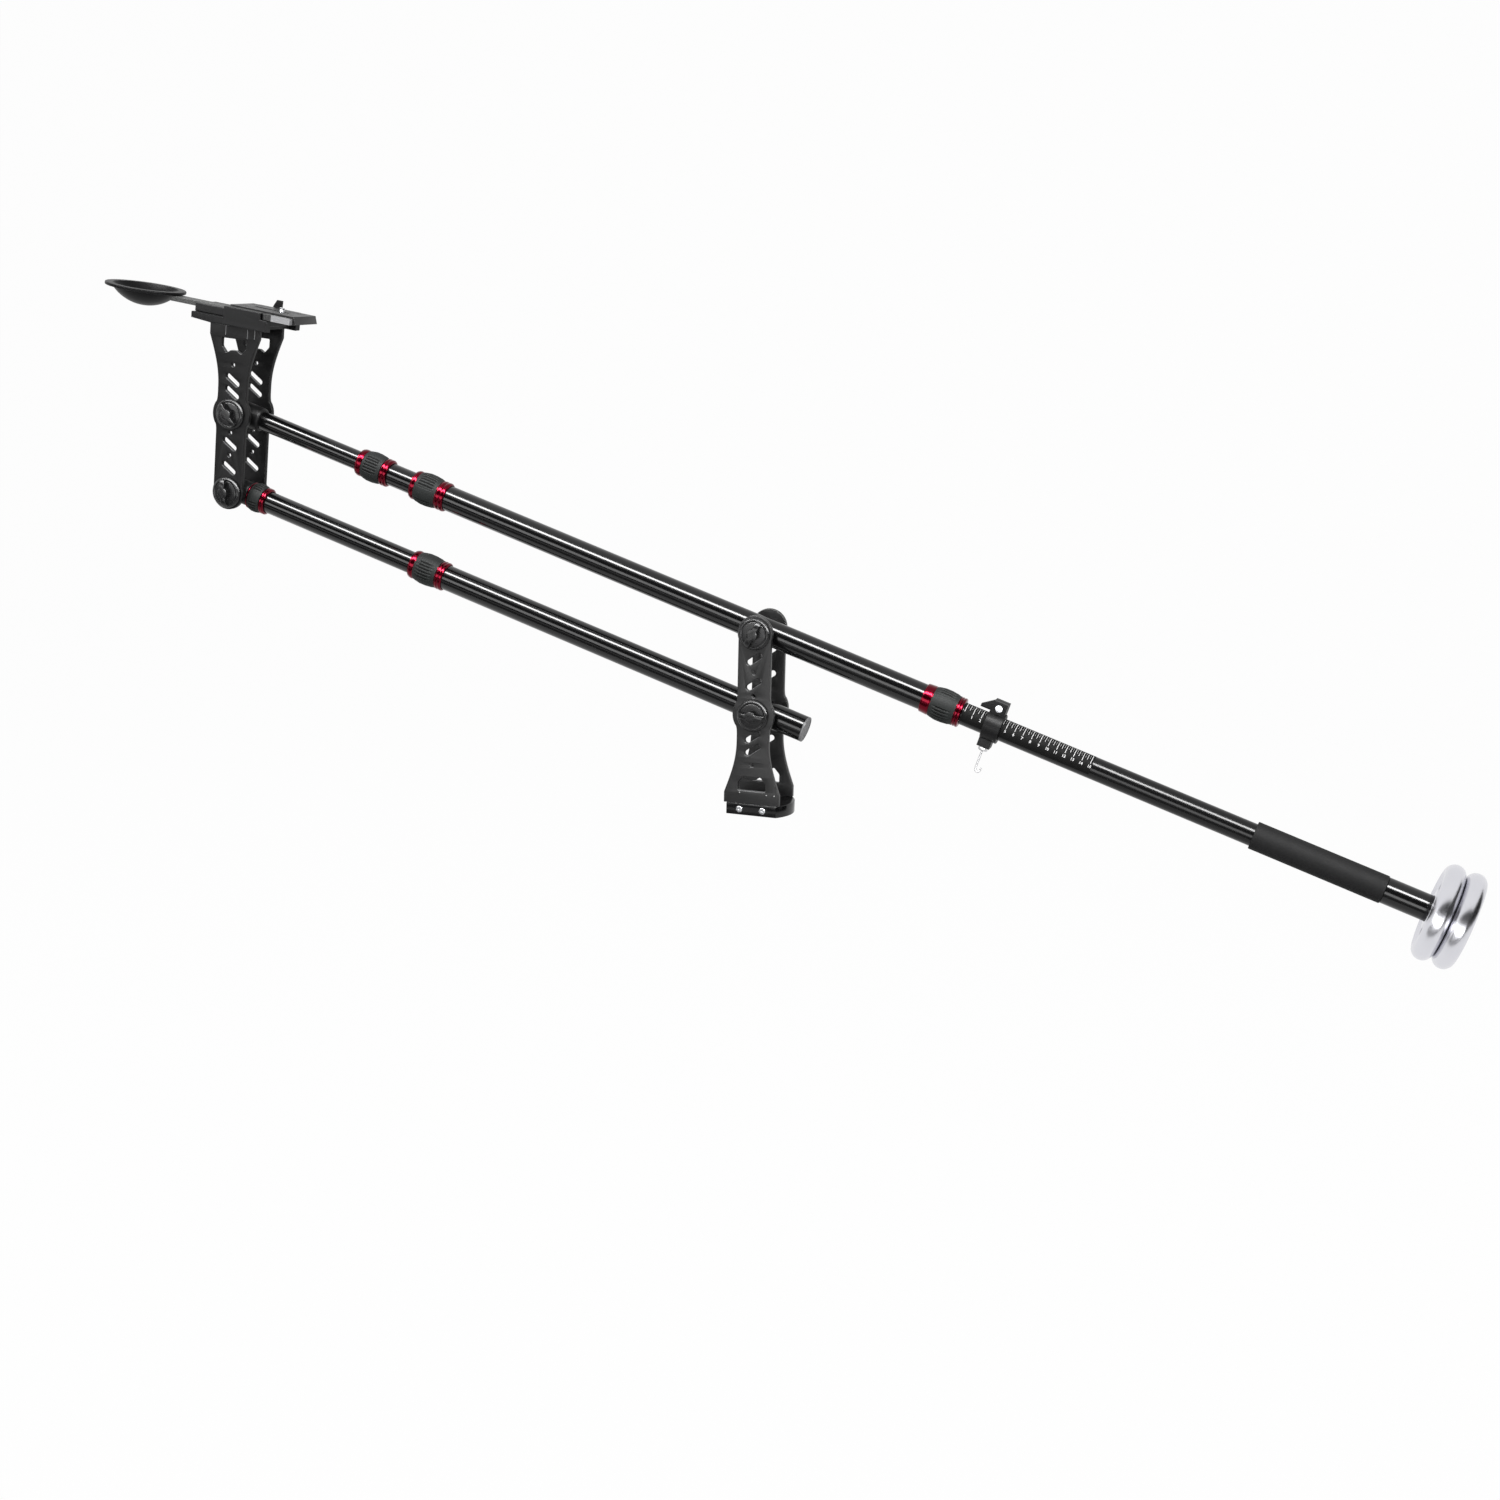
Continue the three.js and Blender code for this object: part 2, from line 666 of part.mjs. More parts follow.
const lowerShoulder = -lowerArmLength + lowerEyeShoulder;
const upperShoulder = -upperArmLength + upperEyeShoulder;
const headLockStart = lowerShoulder + headLockGap;
const lowerMidFront = headLockStart + lowerMidInset;
place(upperArm, 'upper_mid_tube', geometryOf(
  tube(midRadius, upperMidFront, -upperMidTail, [upperMidFront])), glossBlack);
place(lowerArm, 'lower_mid_tube', geometryOf(
  tube(midRadius, lowerMidFront, -lowerMidTail, [lowerMidFront])), glossBlack);
place(upperArm, 'upper_thin_tube', geometryOf(
  tube(thinRadius, upperShoulder + seatGap, upperShoulder + seatGap + thinLength, [])), glossBlack);
place(lowerArm, 'lower_thin_tube', geometryOf(
  tube(thinRadius, lowerShoulder + seatGap, lowerShoulder + seatGap + thinLength, [])), glossBlack);

// Round plug in the open end of the lower main tube.
function lowerEndPlug() {
  const seat = lowerMainBack - endPlugFlange;
  const spigot = mainRadius - tubeWall - seatGap;
  return geometryOf(solid(alongX(turned([
    [0, seat - endPlugSpigot], [spigot, seat - endPlugSpigot], [spigot, seat],
    [mainRadius, seat], [mainRadius, lowerMainBack], [0, lowerMainBack],
  ], tubeSides))));
}

place(lowerArm, 'lower_end_plug', lowerEndPlug(), finish(0x8a8b8d, 0.5, 0.3));

// Eye at a head pivot: rounded end, bore across it, shoulder and a spigot inside the thin tube.
function eye(pivot, shoulder, boreRadius) {
  const spigot = thinRadius - tubeWall - seatGap;
  const front = pivot - eyeEndLength;
  const body = solid(alongX(turned([
    [0, front], [eyeRadius - eyeRound, front], [eyeRadius, front + eyeRound],
    [eyeRadius, shoulder - eyeRound / 2], [eyeRadius - eyeRound / 2, shoulder],
    [spigot, shoulder], [spigot, shoulder + eyeSpigotLength], [0, shoulder + eyeSpigotLength],
  ], tubeSides)));
  const reach = eyeRadius + cutOver;
  return geometryOf(cut(body, pinY(boreRadius, -reach, reach, gripSides).translate(pivot, 0, 0)));
}

place(upperArm, 'upper_head_eye',
  eye(-upperArmLength, upperShoulder, sleeveRadius + seatGap), plateBlack);
place(lowerArm, 'lower_head_eye',
  eye(-lowerArmLength, lowerShoulder, sleeveRadius + openPivotPlay), plateBlack);

// Twist lock: a red collar round the ends of two tubes, and a rubber grip on it.
// Step is where the larger tube ends inside; big is +1 where that tube lies behind the step.
function lockCollar(lock, start, step, big, bigRadius, smallRadius) {
  const gripStart = start + lock.firstRing;
  const gripEnd = gripStart + lock.grip;
  const end = gripEnd + lock.lastRing;
  const hub = Math.max(bigRadius + seatGap, smallRadius + seatGap) + lockHubWall;
  const front = big > 0 ? smallRadius + seatGap : bigRadius + seatGap;
  const back = big > 0 ? bigRadius + seatGap : smallRadius + seatGap;
  const ring = lock.ringRadius;
  return geometryOf(solid(alongX(turned([
    [front, start], [ring - ringChamfer, start],
    [ring, start + ringChamfer], [ring, gripStart - seatGap],
    [hub, gripStart - seatGap], [hub, gripEnd + seatGap],
    [ring, gripEnd + seatGap], [ring, end - ringChamfer], [ring - ringChamfer, end],
    [back, end], [back, step], [front, step], [front, start],
  ], tubeSides))));
}

// Barrel shares: place along the grip, and radius as a share of the grip radius.
const barrelShares = [[0, 0.93], [0.28, 1], [0.6, 0.99], [1, 0.92]];

function lockGrip(lock, start, hubTube) {
  const hub = hubTube + 2 * seatGap + lockHubWall;
  const low = start + lock.firstRing;
  const outer = barrelShares.map(([along, wide]) => [lock.gripRadius * wide, low + lock.grip * along]);
  const profile = [[hub, low], ...outer, [hub, low + lock.grip], [hub, low]];
  return geometryOf(solid(alongX(turned(profile, tubeSides))));
}

const locks = [
  { name: 'upper_front_lock', group: upperArm, lock: upperFrontLock, start: upperFrontLock.start,
    step: upperMidFront - seatGap, big: 1, bigRadius: midRadius, smallRadius: thinRadius },
  { name: 'upper_rear_lock', group: upperArm, lock: upperRearLock, start: upperRearLock.start,
    step: upperMainFront - seatGap, big: 1, bigRadius: mainRadius, smallRadius: midRadius },
  { name: 'tail_lock', group: upperArm, lock: tailLock, start: tailLock.start,
    step: upperMainBack + seatGap, big: -1, bigRadius: mainRadius, smallRadius: rulerRadius },
  { name: 'lower_rear_lock', group: lowerArm, lock: lowerRearLock, start: lowerRearLock.start,
    step: lowerMainFront - seatGap, big: 1, bigRadius: mainRadius, smallRadius: midRadius },
  { name: 'lower_front_lock', group: lowerArm, lock: headLock, start: headLockStart,
    step: lowerMidFront - seatGap, big: 1, bigRadius: midRadius, smallRadius: thinRadius },
];
for (const { name, group, lock, start, step, big, bigRadius, smallRadius } of locks) {
  place(group, `${name}_collar`, lockCollar(lock, start, step, big, bigRadius, smallRadius), anodisedRed);
  place(group, `${name}_grip`, lockGrip(lock, start, bigRadius), rubberBlack);
}

// Rear tube with the foam grip, the weight sleeve and the cap.
const sleeveFront = foamFront + foamLength + seatGap;
place(upperArm, 'ruler_tube', geometryOf(tube(rulerRadius, rulerFront, rulerBack, [])), glossBlack);
const onRuler = (outer, front, back) => geometryOf(solid(alongX(turned(
  ringOutline(rulerRadius + runningGap, outer, front, back), tubeSides))));
place(upperArm, 'foam_grip',
  onRuler(rulerRadius + foamThickness, foamFront, foamFront + foamLength), foamBlack);
place(upperArm, 'weight_sleeve', onRuler(weightSleeveRadius, sleeveFront, rulerBack), glossBlack);

function weightPlate() {
  const bore = weightSleeveRadius + weightBoreGap;
  const thickness = weightThickness - seatGap;
  const middle = thickness / 2;
  const rimRadius = middle;
  const rimCentre = weightRadius - rimRadius;
  const rim = [];
  for (let k = 0; k <= rimSteps; k += 1) {
    const angle = Math.PI * (k / rimSteps - 1 / 2);
    rim.push([rimCentre + rimRadius * Math.cos(angle), middle + rimRadius * Math.sin(angle)]);
  }
  const slope = weightRecess / 2;
  return geometryOf(solid(alongX(turned([
    [bore, weightHubInset], [weightHubRadius, weightHubInset], [weightHubRadius + slope, weightRecess],
    [weightRimInner - slope, weightRecess], ...rim,
    [weightRimInner - slope, thickness - weightRecess], [weightHubRadius + slope, thickness - weightRecess],
    [weightHubRadius, thickness - weightHubInset], [bore, thickness - weightHubInset],
    [bore, weightHubInset],
  ], weightSides))));
}

place(upperArm, 'weight_inner', weightPlate(), chrome).position.x = weightFront;
place(upperArm, 'weight_outer', weightPlate(), chrome).position.x = weightFront + weightThickness;

function tailCap() {
  const seat = rulerBack + seatGap;
  const spigot = rulerRadius - tubeWall - seatGap;
  return geometryOf(solid(alongX(turned([
    [0, seat - capSpigotLength], [spigot, seat - capSpigotLength], [spigot, seat],
    [capFlangeRadius, seat], [capFlangeRadius, seat + capThickness - capChamfer],
    [capFlangeRadius - capChamfer, seat + capThickness], [0, seat + capThickness],
  ], tubeSides))));
}

place(upperArm, 'tail_cap', tailCap(), knobBlack);

// Scale collar: split ring, ear with a screw, fin behind it, lug with a hook below.
const collarOuter = rulerRadius + collarWall;
const earTop = collarOuter + earHeight;
const lugBottom = -collarOuter - lugHeight;

function scaleCollar() {
  const half = collarLength / 2;
  const inside = rulerRadius + runningGap;
  const outer = solid(pinX(collarOuter, -half, half, tubeSides));
  const finRoot = -earLength / 2 + finInset;
  const finTip = -earLength / 2 - finLength;
  const finLow = collarOuter - collarWall / 2;
  const fin = new THREE.Shape([
    new THREE.Vector2(finRoot, earTop), new THREE.Vector2(finTip, collarOuter + finInset),
    new THREE.Vector2(finTip, finLow), new THREE.Vector2(finRoot, finLow),
  ]);
  const ear = box(-earLength / 2, earLength / 2, -earHalfThickness, earHalfThickness, rulerRadius, earTop);
  const lug = box(-lugLength / 2 - lugShift, lugLength / 2 - lugShift,
    -lugHalfThickness, lugHalfThickness, lugBottom, -rulerRadius);
  const body = outer.add(solid(ear)).add(solid(lug))
    .add(solid(slab(fin, earHalfThickness - finThickness, earHalfThickness, slotSteps)));
  const slit = earSlitWidth / 2;
  const screwZ = collarOuter + collarScrewHeight;
  const screwReach = earHalfThickness + cutOver;
  const stemTop = lugBottom + hookStemLength + seatGap;
  return geometryOf(cut(body,
    pinX(inside, -half - finLength - cutOver, half + cutOver, tubeSides),
    box(-half - cutOver, half + cutOver, -slit, slit, rulerRadius - cutOver, earTop + cutOver),
    pinY(collarScrewRadius + seatGap, -screwReach, screwReach, screwSides).translate(0, 0, screwZ),
    turned(pinOutline(hookStemRadius + seatGap, lugBottom - cutOver, stemTop), screwSides)
      .translate(-lugShift, 0, 0),
  ));
}

const collarGroup = new THREE.Group();
collarGroup.position.x = collarFront + collarLength / 2;
upperArm.add(collarGroup);
place(collarGroup, 'scale_collar', scaleCollar(), plateBlack);

function collarScrew() {
  const front = -earHalfThickness - seatGap;
  const screw = joined(
    pinY(collarScrewRadius, front - cutOver, earHalfThickness + cutOver, screwSides),
    pinY(collarScrewHeadRadius, front - collarScrewHeadHeight, front, boltSides));
  const face = front - collarScrewHeadHeight;
  return geometryOf(cut(screw,
    pinY(crossBoltSocketRadius, face - cutOver, face + crossBoltSocketDepth, hexSides)));
}

place(collarGroup, 'collar_screw', collarScrew(), steel)
  .position.z = collarOuter + collarScrewHeight;

// Hook on a swivel disc under the lug.
function collarHook() {
  const top = lugBottom - seatGap;
  const bend = new THREE.CurvePath();
  const start = new THREE.Vector3(0, 0, top - hookDiscHeight + cutOver);
  const low = new THREE.Vector3(0, 0, top - hookDiscHeight - hookDrop);
  bend.add(new THREE.LineCurve3(start, low));
  const under = low.clone().add(new THREE.Vector3(hookBendRadius, 0, -hookBendDepth));
  const tip = low.clone().add(new THREE.Vector3(hookTipReach, 0, 0));
  bend.add(new THREE.QuadraticBezierCurve3(low, new THREE.Vector3(0, 0, under.z), under));
  bend.add(new THREE.QuadraticBezierCurve3(under, new THREE.Vector3(tip.x, 0, under.z), tip));
  const section = new THREE.Shape().absarc(0, 0, hookWireRadius, 0, 2 * Math.PI, false);
  const wire = new THREE.ExtrudeGeometry(section, {
    steps: wireSteps, extrudePath: bend, curveSegments: wireSides,
  });
  return geometryOf(joined(
    turned(pinOutline(hookDiscRadius, top - hookDiscHeight, top), gripSides),
    turned(pinOutline(hookStemRadius, top - cutOver, top + hookStemLength), screwSides),
    wire,
  )).translate(-lugShift, 0, 0);
}

place(collarGroup, 'collar_hook', collarHook(), machinedSilver);

// Platform: the head block's top face, and what stands on it.
const platform = new THREE.Group();
platform.position.z = plateReach + headBlockHeight;
platform.rotation.y = platformLean;
head.add(platform);

// A place on the platform as x and z of the head's frame.
function onPlatform(x, z) {
  return new THREE.Vector2(x, platform.position.z + z)
    .rotateAround(new THREE.Vector2(0, platform.position.z), -platformLean);
}

// Wedge on the flat ends of the plates; its front part rises from them and its top face leans.
function headBlock() {
  const backTop = onPlatform(headBlockBack, 0);
  const body = slab(new THREE.Shape([
    new THREE.Vector2(-plateFlareHalf, plateReach), new THREE.Vector2(backTop.x, plateReach),
    backTop, onPlatform(headBlockFront, 0), onPlatform(headBlockFront, -headBlockEdge),
  ]), -plateOuterHalf, plateOuterHalf, slotSteps);
  return geometryOf(cut(solid(body), ...blockCuts(plateReach, 1, headTongueLength, headBoltDrop)));
}

place(head, 'head_block', headBlock(), machinedSilver);

const clampLow = seatGap;
const clampTop = clampLow + clampHeight;
const channelFloor = clampLow + clampFloor;
const leverPivotX = clampBack - leverPivotInset;
const leverPivotY = -clampHalfWidth + leverHubRadius + leverPlay;
const leverLow = clampLow + leverSeat;
const catchY = (channelHalfWidth + clampHalfWidth) / 2;

// Clamp: floor, two jaws with the plate's channel between them, and skirts beside the plates.
function clampBody() {
  const skirtInner = plateOuterHalf + seatGap;
  const skirtLow = clampLow - skirtDrop;
  const skirtTop = clampLow + cutOver;
  const body = joined(
    box(clampFront, clampBack, -clampHalfWidth, clampHalfWidth, clampLow, clampTop),
    box(clampFront, clampBack, -clampHalfWidth, -skirtInner, skirtLow, skirtTop),
    box(clampFront, clampBack, skirtInner, clampHalfWidth, skirtLow, skirtTop));
  const notchInner = leverPivotY + leverHubRadius + leverPlay;
  const boreRadius = leverPinRadius + seatGap;
  return geometryOf(cut(body,
    box(clampFront - cutOver, clampBack + cutOver, -channelHalfWidth, channelHalfWidth,
      channelFloor, clampTop + cutOver),
    box(leverPivotX - leverHubRadius - leverPlay, clampBack + cutOver, -clampHalfWidth - cutOver, notchInner,
      leverLow - leverPlay, clampTop + cutOver),
    turned(pinOutline(boreRadius, leverLow - leverPinDepth - seatGap, leverLow + cutOver), screwSides)
      .translate(leverPivotX, leverPivotY, 0),
    turned(pinOutline(boreRadius, clampTop - leverPinDepth, clampTop + cutOver), screwSides)
      .translate(catchPlace, catchY, 0),
  ));
}

place(platform, 'clamp_body', clampBody(), plateBlack);

function clampLever() {
  const top = leverLow + leverHeight - seatGap;
  const half = leverThickness / 2;
  return geometryOf(joined(
    turned(pinOutline(leverHubRadius, leverLow, top), gripSides),
    turned(pinOutline(leverPinRadius, leverLow - leverPinDepth, leverLow + cutOver), screwSides),
    box(0, leverReach + leverPivotInset, -half, half, leverLow, top),
  ));
}

place(platform, 'clamp_lever', clampLever(), machinedSilver).position.set(leverPivotX, leverPivotY, 0);

// Sliding camera plate: a slot, a recess below for the screw head and a slanted lip at its back end.
function slidePlate() {
  const half = channelHalfWidth - seatGap;
  const low = channelFloor + seatGap;
  const top = low + slidePlateHeight;
  const lip = new THREE.Shape([
    new THREE.Vector2(slidePlateBack - slideLipThickness, top),
    new THREE.Vector2(slidePlateBack, top),
    new THREE.Vector2(slidePlateBack + slideLipSlant, low - slideLipDrop),
    new THREE.Vector2(slidePlateBack + slideLipSlant - slideLipThickness, low - slideLipDrop),
  ]);
  const slotBack = slideSlotFront + slideSlotLength;
  const body = joined(
    box(clampFront, slidePlateBack - slideLipThickness / 2, -half, half, low, top),
    slab(lip, -half, half, slotSteps));
  return geometryOf(cut(body,
    box(slideSlotFront, slotBack, -slideSlotHalf, slideSlotHalf, low - cutOver, top + cutOver),
    box(slideSlotFront - slideRecessHalf, slotBack + slideRecessHalf,
      -slideRecessHalf, slideRecessHalf, low - cutOver, low + slideRecessDepth)));
}

place(platform, 'slide_plate', slidePlate(), plateBlack);

function cameraScrew() {
  const low = channelFloor + 2 * seatGap;
  const top = channelFloor + seatGap + slidePlateHeight + cameraScrewProud;
  return geometryOf(joined(
    turned(pinOutline(cameraScrewHeadRadius, low, low + cameraScrewHeadHeight), gripSides),
    turned(pinOutline(cameraScrewRadius, low + cutOver, top), boltSides)));
}

place(platform, 'camera_screw', cameraScrew(), steel).position.x = cameraScrewPlace;

// Safety catch on the back jaw: it turns on its own pin.
function safetyCatch() {
  const low = clampTop + seatGap;
  const half = catchFinReach / 2;
  const finTop = low + catchBaseHeight + catchFinHeight;
  const fin = new THREE.Shape([
    new THREE.Vector2(-half, low + cutOver), new THREE.Vector2(half, low + cutOver),
    new THREE.Vector2(half, finTop), new THREE.Vector2(-half + catchFinSlant, finTop),
  ]);
  return geometryOf(joined(
    turned(pinOutline(catchRadius, low, low + catchBaseHeight), gripSides),
    turned(pinOutline(leverPinRadius, low - leverPinDepth + 2 * seatGap, low + cutOver), screwSides),
    slab(fin, -catchFinThickness / 2, catchFinThickness / 2, slotSteps)));
}

place(platform, 'safety_catch', safetyCatch(), plateBlack).position.set(catchPlace, catchY, 0);

// Block in front of the clamp, with a channel for the bar that carries the bowl.
const barLow = clampLow + barFloor + seatGap;
const flangeLow = barLow + barThickness + seatGap;

function frontBlock() {
  const body = solid(box(headBlockFront, clampFront - seatGap,
    -frontBlockHalf, frontBlockHalf, clampLow, clampLow + frontBlockHeight));
  return geometryOf(cut(body, box(headBlockFront - cutOver, barBack + seatGap,
    -barHalfWidth - seatGap, barHalfWidth + seatGap,
    clampLow + barFloor, clampLow + frontBlockHeight + cutOver)));
}

place(platform, 'front_block', frontBlock(), plateBlack);
place(platform, 'bowl_bar', geometryOf(solid(box(
  bowlCentre + bowlWallRadius + seatGap, barBack, -barHalfWidth, barHalfWidth,
  barLow, barLow + barThickness))), machinedSilver);

// Shallow bowl: spherical dish under a flat flange.
function bowl() {
  const top = flangeLow + bowlFlangeThickness;
  const sphere = (bowlWallRadius ** 2 + bowlDepth ** 2) / (2 * bowlDepth);
  const centre = top - bowlDepth + sphere;
  const outer = [];
  const inner = [];
  const flangeAngle = Math.acos((centre - flangeLow) / sphere);
  const inside = sphere - bowlWall;
  const mouthAngle = Math.acos((centre - top) / inside);
  for (let k = 0; k <= bowlSteps; k += 1) {
    const out = flangeAngle * k / bowlSteps;
    outer.push([sphere * Math.sin(out), centre - sphere * Math.cos(out)]);
    const within = mouthAngle * (1 - k / bowlSteps);
    inner.push([inside * Math.sin(within), centre - inside * Math.cos(within)]);
  }
  return geometryOf(solid(turned([
    ...outer, [bowlFlangeRadius, flangeLow], [bowlFlangeRadius, top], ...inner,
  ], tubeSides)));
}

place(platform, 'front_bowl', bowl(), plateBlack).position.x = bowlCentre;

export default crane;
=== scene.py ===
import json
import math

import bmesh
import bpy
from mathutils import Matrix, Vector


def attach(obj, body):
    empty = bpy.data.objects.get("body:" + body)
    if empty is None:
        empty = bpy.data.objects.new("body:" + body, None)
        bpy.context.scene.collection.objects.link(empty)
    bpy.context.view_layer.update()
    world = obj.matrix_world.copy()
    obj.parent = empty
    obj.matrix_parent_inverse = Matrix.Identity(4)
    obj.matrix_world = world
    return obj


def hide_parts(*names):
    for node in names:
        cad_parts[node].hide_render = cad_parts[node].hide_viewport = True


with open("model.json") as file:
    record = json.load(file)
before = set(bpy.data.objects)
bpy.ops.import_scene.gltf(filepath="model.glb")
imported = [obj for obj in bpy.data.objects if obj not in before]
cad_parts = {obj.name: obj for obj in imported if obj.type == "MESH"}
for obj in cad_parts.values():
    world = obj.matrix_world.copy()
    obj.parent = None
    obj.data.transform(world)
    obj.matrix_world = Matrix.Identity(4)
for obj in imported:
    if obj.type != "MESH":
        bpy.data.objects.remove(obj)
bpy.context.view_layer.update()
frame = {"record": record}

# Camera jib crane. Piece sizes are in millimetres, and world places in metres.
mm = 0.001
degree = math.pi / 180
joints = {joint["name"]: joint for joint in frame["record"]["behaviour"]["joints"]}
gap = 0.3  # seat clearance, as in the solids
over = 1  # how far a cut, or the root of a joined body, runs past a surface
bends = {"share": 0.45, "segments": 2, "limit": 40 * degree}  # share of a side a corner may take, and bevels
tiny = 1e-6
mergeDistance = 0.0005


def frameAt(origin, along):  # x runs along, y away from the camera, z up
    x = Vector(along).normalized()
    y = Vector((0, 1, 0))
    z = x.cross(y)
    turn = Matrix((x, y, z)).transposed().to_4x4()
    return Matrix.Translation(Vector(origin)) @ turn


def jointPlace(name):
    return Vector(joints[name]["pos_m"])


armSpace = frameAt(jointPlace("arm_tilt"), -Vector(joints["upper_mid_slide"]["axis"]))
lowerSpace = frameAt(jointPlace("lower_arm_tilt"), -Vector(joints["lower_mid_slide"]["axis"]))
headUp = jointPlace("head_upper_knob_turn") - jointPlace("head_lower_knob_turn")
headSpace = frameAt(jointPlace("head_level"), Vector((0, 1, 0)).cross(headUp))
baseSpace = Matrix.Identity(4)
upperPivotZ = jointPlace("arm_tilt").z / mm
lowerPivotZ = jointPlace("lower_arm_tilt").z / mm
pivotSpacing = upperPivotZ - lowerPivotZ
upperArmLength = (jointPlace("head_level") - jointPlace("arm_tilt")).length / mm
lowerHeadPlace = headSpace @ Vector((0, 0, -pivotSpacing * mm))
lowerArmLength = (lowerHeadPlace - jointPlace("lower_arm_tilt")).length / mm
print("frame read: arms", round(upperArmLength), "and", round(lowerArmLength), "mm")


# Shader maths: a socket that takes part in sums
class Value:
    def __init__(self, finish, socket):
        self.finish = finish
        self.socket = socket

    def sum(self, operation, first, second=None):
        sockets = [first] if second is None else [first, second]
        return self.finish.node("ShaderNodeMath", {"operation": operation}, sockets)

    def __add__(self, other):
        return self.sum("ADD", self, other)

    def __radd__(self, other):
        return self.sum("ADD", other, self)

    def __sub__(self, other):
        return self.sum("SUBTRACT", self, other)

    def __rsub__(self, other):
        return self.sum("SUBTRACT", other, self)

    def __mul__(self, other):
        return self.sum("MULTIPLY", self, other)

    def __rmul__(self, other):
        return self.sum("MULTIPLY", other, self)

    def __gt__(self, other):
        return self.sum("GREATER_THAN", self, other)

    def clamped(self):
        return self.finish.node("ShaderNodeClamp", {}, [self, 0.0, 1.0])


class Finish:
    def __init__(self, name, **sockets):
        self.material = bpy.data.materials.new(name)
        self.material.use_nodes = True
        self.tree = self.material.node_tree
        self.shader = self.tree.nodes["Principled BSDF"]
        for socket, value in sockets.items():
            self.set(socket, value)

    def set(self, socket, value):
        target = self.shader.inputs[socket.replace("_", " ")]
        self.plug(target, value)
        return self

    def plug(self, target, value):
        if isinstance(value, Value):
            self.tree.links.new(value.socket, target)
        elif target.type == "RGBA" and len(value) == 3:
            target.default_value = (*value, 1)
        else:
            target.default_value = value

    def node(self, kind, settings, inputs, output=0):  # inputs: a list by place, or a dictionary by name
        made = self.tree.nodes.new(kind)
        for name, setting in settings.items():
            if name == "stops":
                self.setStops(made.color_ramp, setting)
            else:
                setattr(made, name, setting)
        pairs = inputs.items() if isinstance(inputs, dict) else enumerate(inputs)
        for socket, value in pairs:
            if value is not None:
                self.plug(made.inputs[socket], value)
        return Value(self, made.outputs[output])

    def setStops(self, ramp, stops):
        while len(ramp.elements) < len(stops):
            ramp.elements.new(0.5)
        for element, (place, shade) in zip(ramp.elements, stops):
            element.position = place
            element.color = (shade, shade, shade, 1)

    def place(self):  # object coordinates, in metres
        return self.node("ShaderNodeTexCoord", {}, [], "Object")

    def noise(self, scale, detail=3.0, stretch=None):
        vector = self.place()
        if stretch is not None:
            vector = self.node("ShaderNodeMapping", {}, {"Vector": vector, "Scale": stretch})
        inputs = {"Vector": vector, "Scale": scale, "Detail": detail}
        return self.node("ShaderNodeTexNoise", {}, inputs, "Fac")

    def mixColour(self, mask, first, second):
        return self.node("ShaderNodeMix", {"data_type": "RGBA"}, {0: mask, 6: first, 7: second}, 2)

    def bump(self, height, distance, strength=1.0):
        bump = self.node("ShaderNodeBump", {}, {"Strength": strength, "Distance": distance, "Height": height})
        return self.set("Normal", bump)


def shades(colour, low, high):
    return [c * low for c in colour], [c * high for c in colour]


def wornEdges(finish, look):  # bright where an edge is rubbed, broken up by noise
    bend = finish.node("ShaderNodeNewGeometry", {}, [], "Pointiness")
    edge = finish.node("ShaderNodeValToRGB", {"stops": look["rubbed"]}, [bend])
    return (edge * finish.noise(*look["scratches"]) * look["wear"]).clamped()


def mottledFinish(name, look):  # a cloudy noise mixes two tones and two polishes
    finish = Finish(name, Specular_IOR_Level=look["sheen"])
    cloud = finish.noise(*look["cloud"])
    tone = finish.mixColour(cloud, *look["tones"])
    if "worn" in look:
        tone = finish.mixColour(wornEdges(finish, look), tone, look["worn"])
    finish.set("Base Color", tone)
    finish.set("Roughness", look["polish"] + cloud * look["spread"])
    if "grain" in look:
        finish.bump(finish.noise(look["grain"], 2), look["relief"], look["strength"])
    return finish.material


plateLook = {
    "sheen": 0.35, "cloud": (60, 4), "tones": shades((0.006, 0.006, 0.0063), 0.8, 1.25), "polish": 0.36,
    "spread": 0.12, "grain": 2600, "relief": 0.00004, "strength": 0.5, "worn": (0.05, 0.05, 0.053),
    "wear": 0.6, "rubbed": [(0.53, 0), (0.6, 1)], "scratches": (420, 4),
}
knobLook = {
    "sheen": 0.32, "cloud": (150, 3), "tones": shades((0.005, 0.005, 0.0054), 1, 1.8), "polish": 0.2,
    "spread": 0.12, "grain": 1400, "relief": 0.00002, "strength": 0.35,
}
rubberLook = {
    "sheen": 0.17, "cloud": (120, 4), "tones": shades((0.009, 0.011, 0.0105), 1, 1.35), "polish": 0.52,
    "spread": 0.2, "grain": 1900, "relief": 0.00005, "strength": 0.12,
}
# darker copy of the rubber for the groove bottoms, a painted shade
grooveShadeLook = {"sheen": 0.1, "cloud": (300, 3), "tones": shades((0.001, 0.001, 0.001), 2, 5), "polish": 0.7,
              "spread": 0.2}
labelLook = {"sheen": 0.06, "cloud": (400, 3), "tones": shades((0.001, 0.001, 0.001), 4, 7), "polish": 0.55,
             "spread": 0.15}
printLook = {"sheen": 0.3, "cloud": (700, 3), "tones": shades((1, 1, 1), 0.8, 0.95), "polish": 0.5,
             "spread": 0.2}
plugLook = {
    "sheen": 0.4, "cloud": (160, 4), "tones": ((0.12, 0.12, 0.125), (0.2, 0.2, 0.205)), "polish": 0.42,
    "spread": 0.2, "grain": 900, "relief": 0.00004, "strength": 0.4,
}
tubeLook = {"tones": shades((0.0035, 0.0035, 0.0038), 1, 1.6), "drawn": (4, 300, 300), "drawnSpread": 0.02,
            "cloud": (25, 3), "cloudSpread": 0.03}
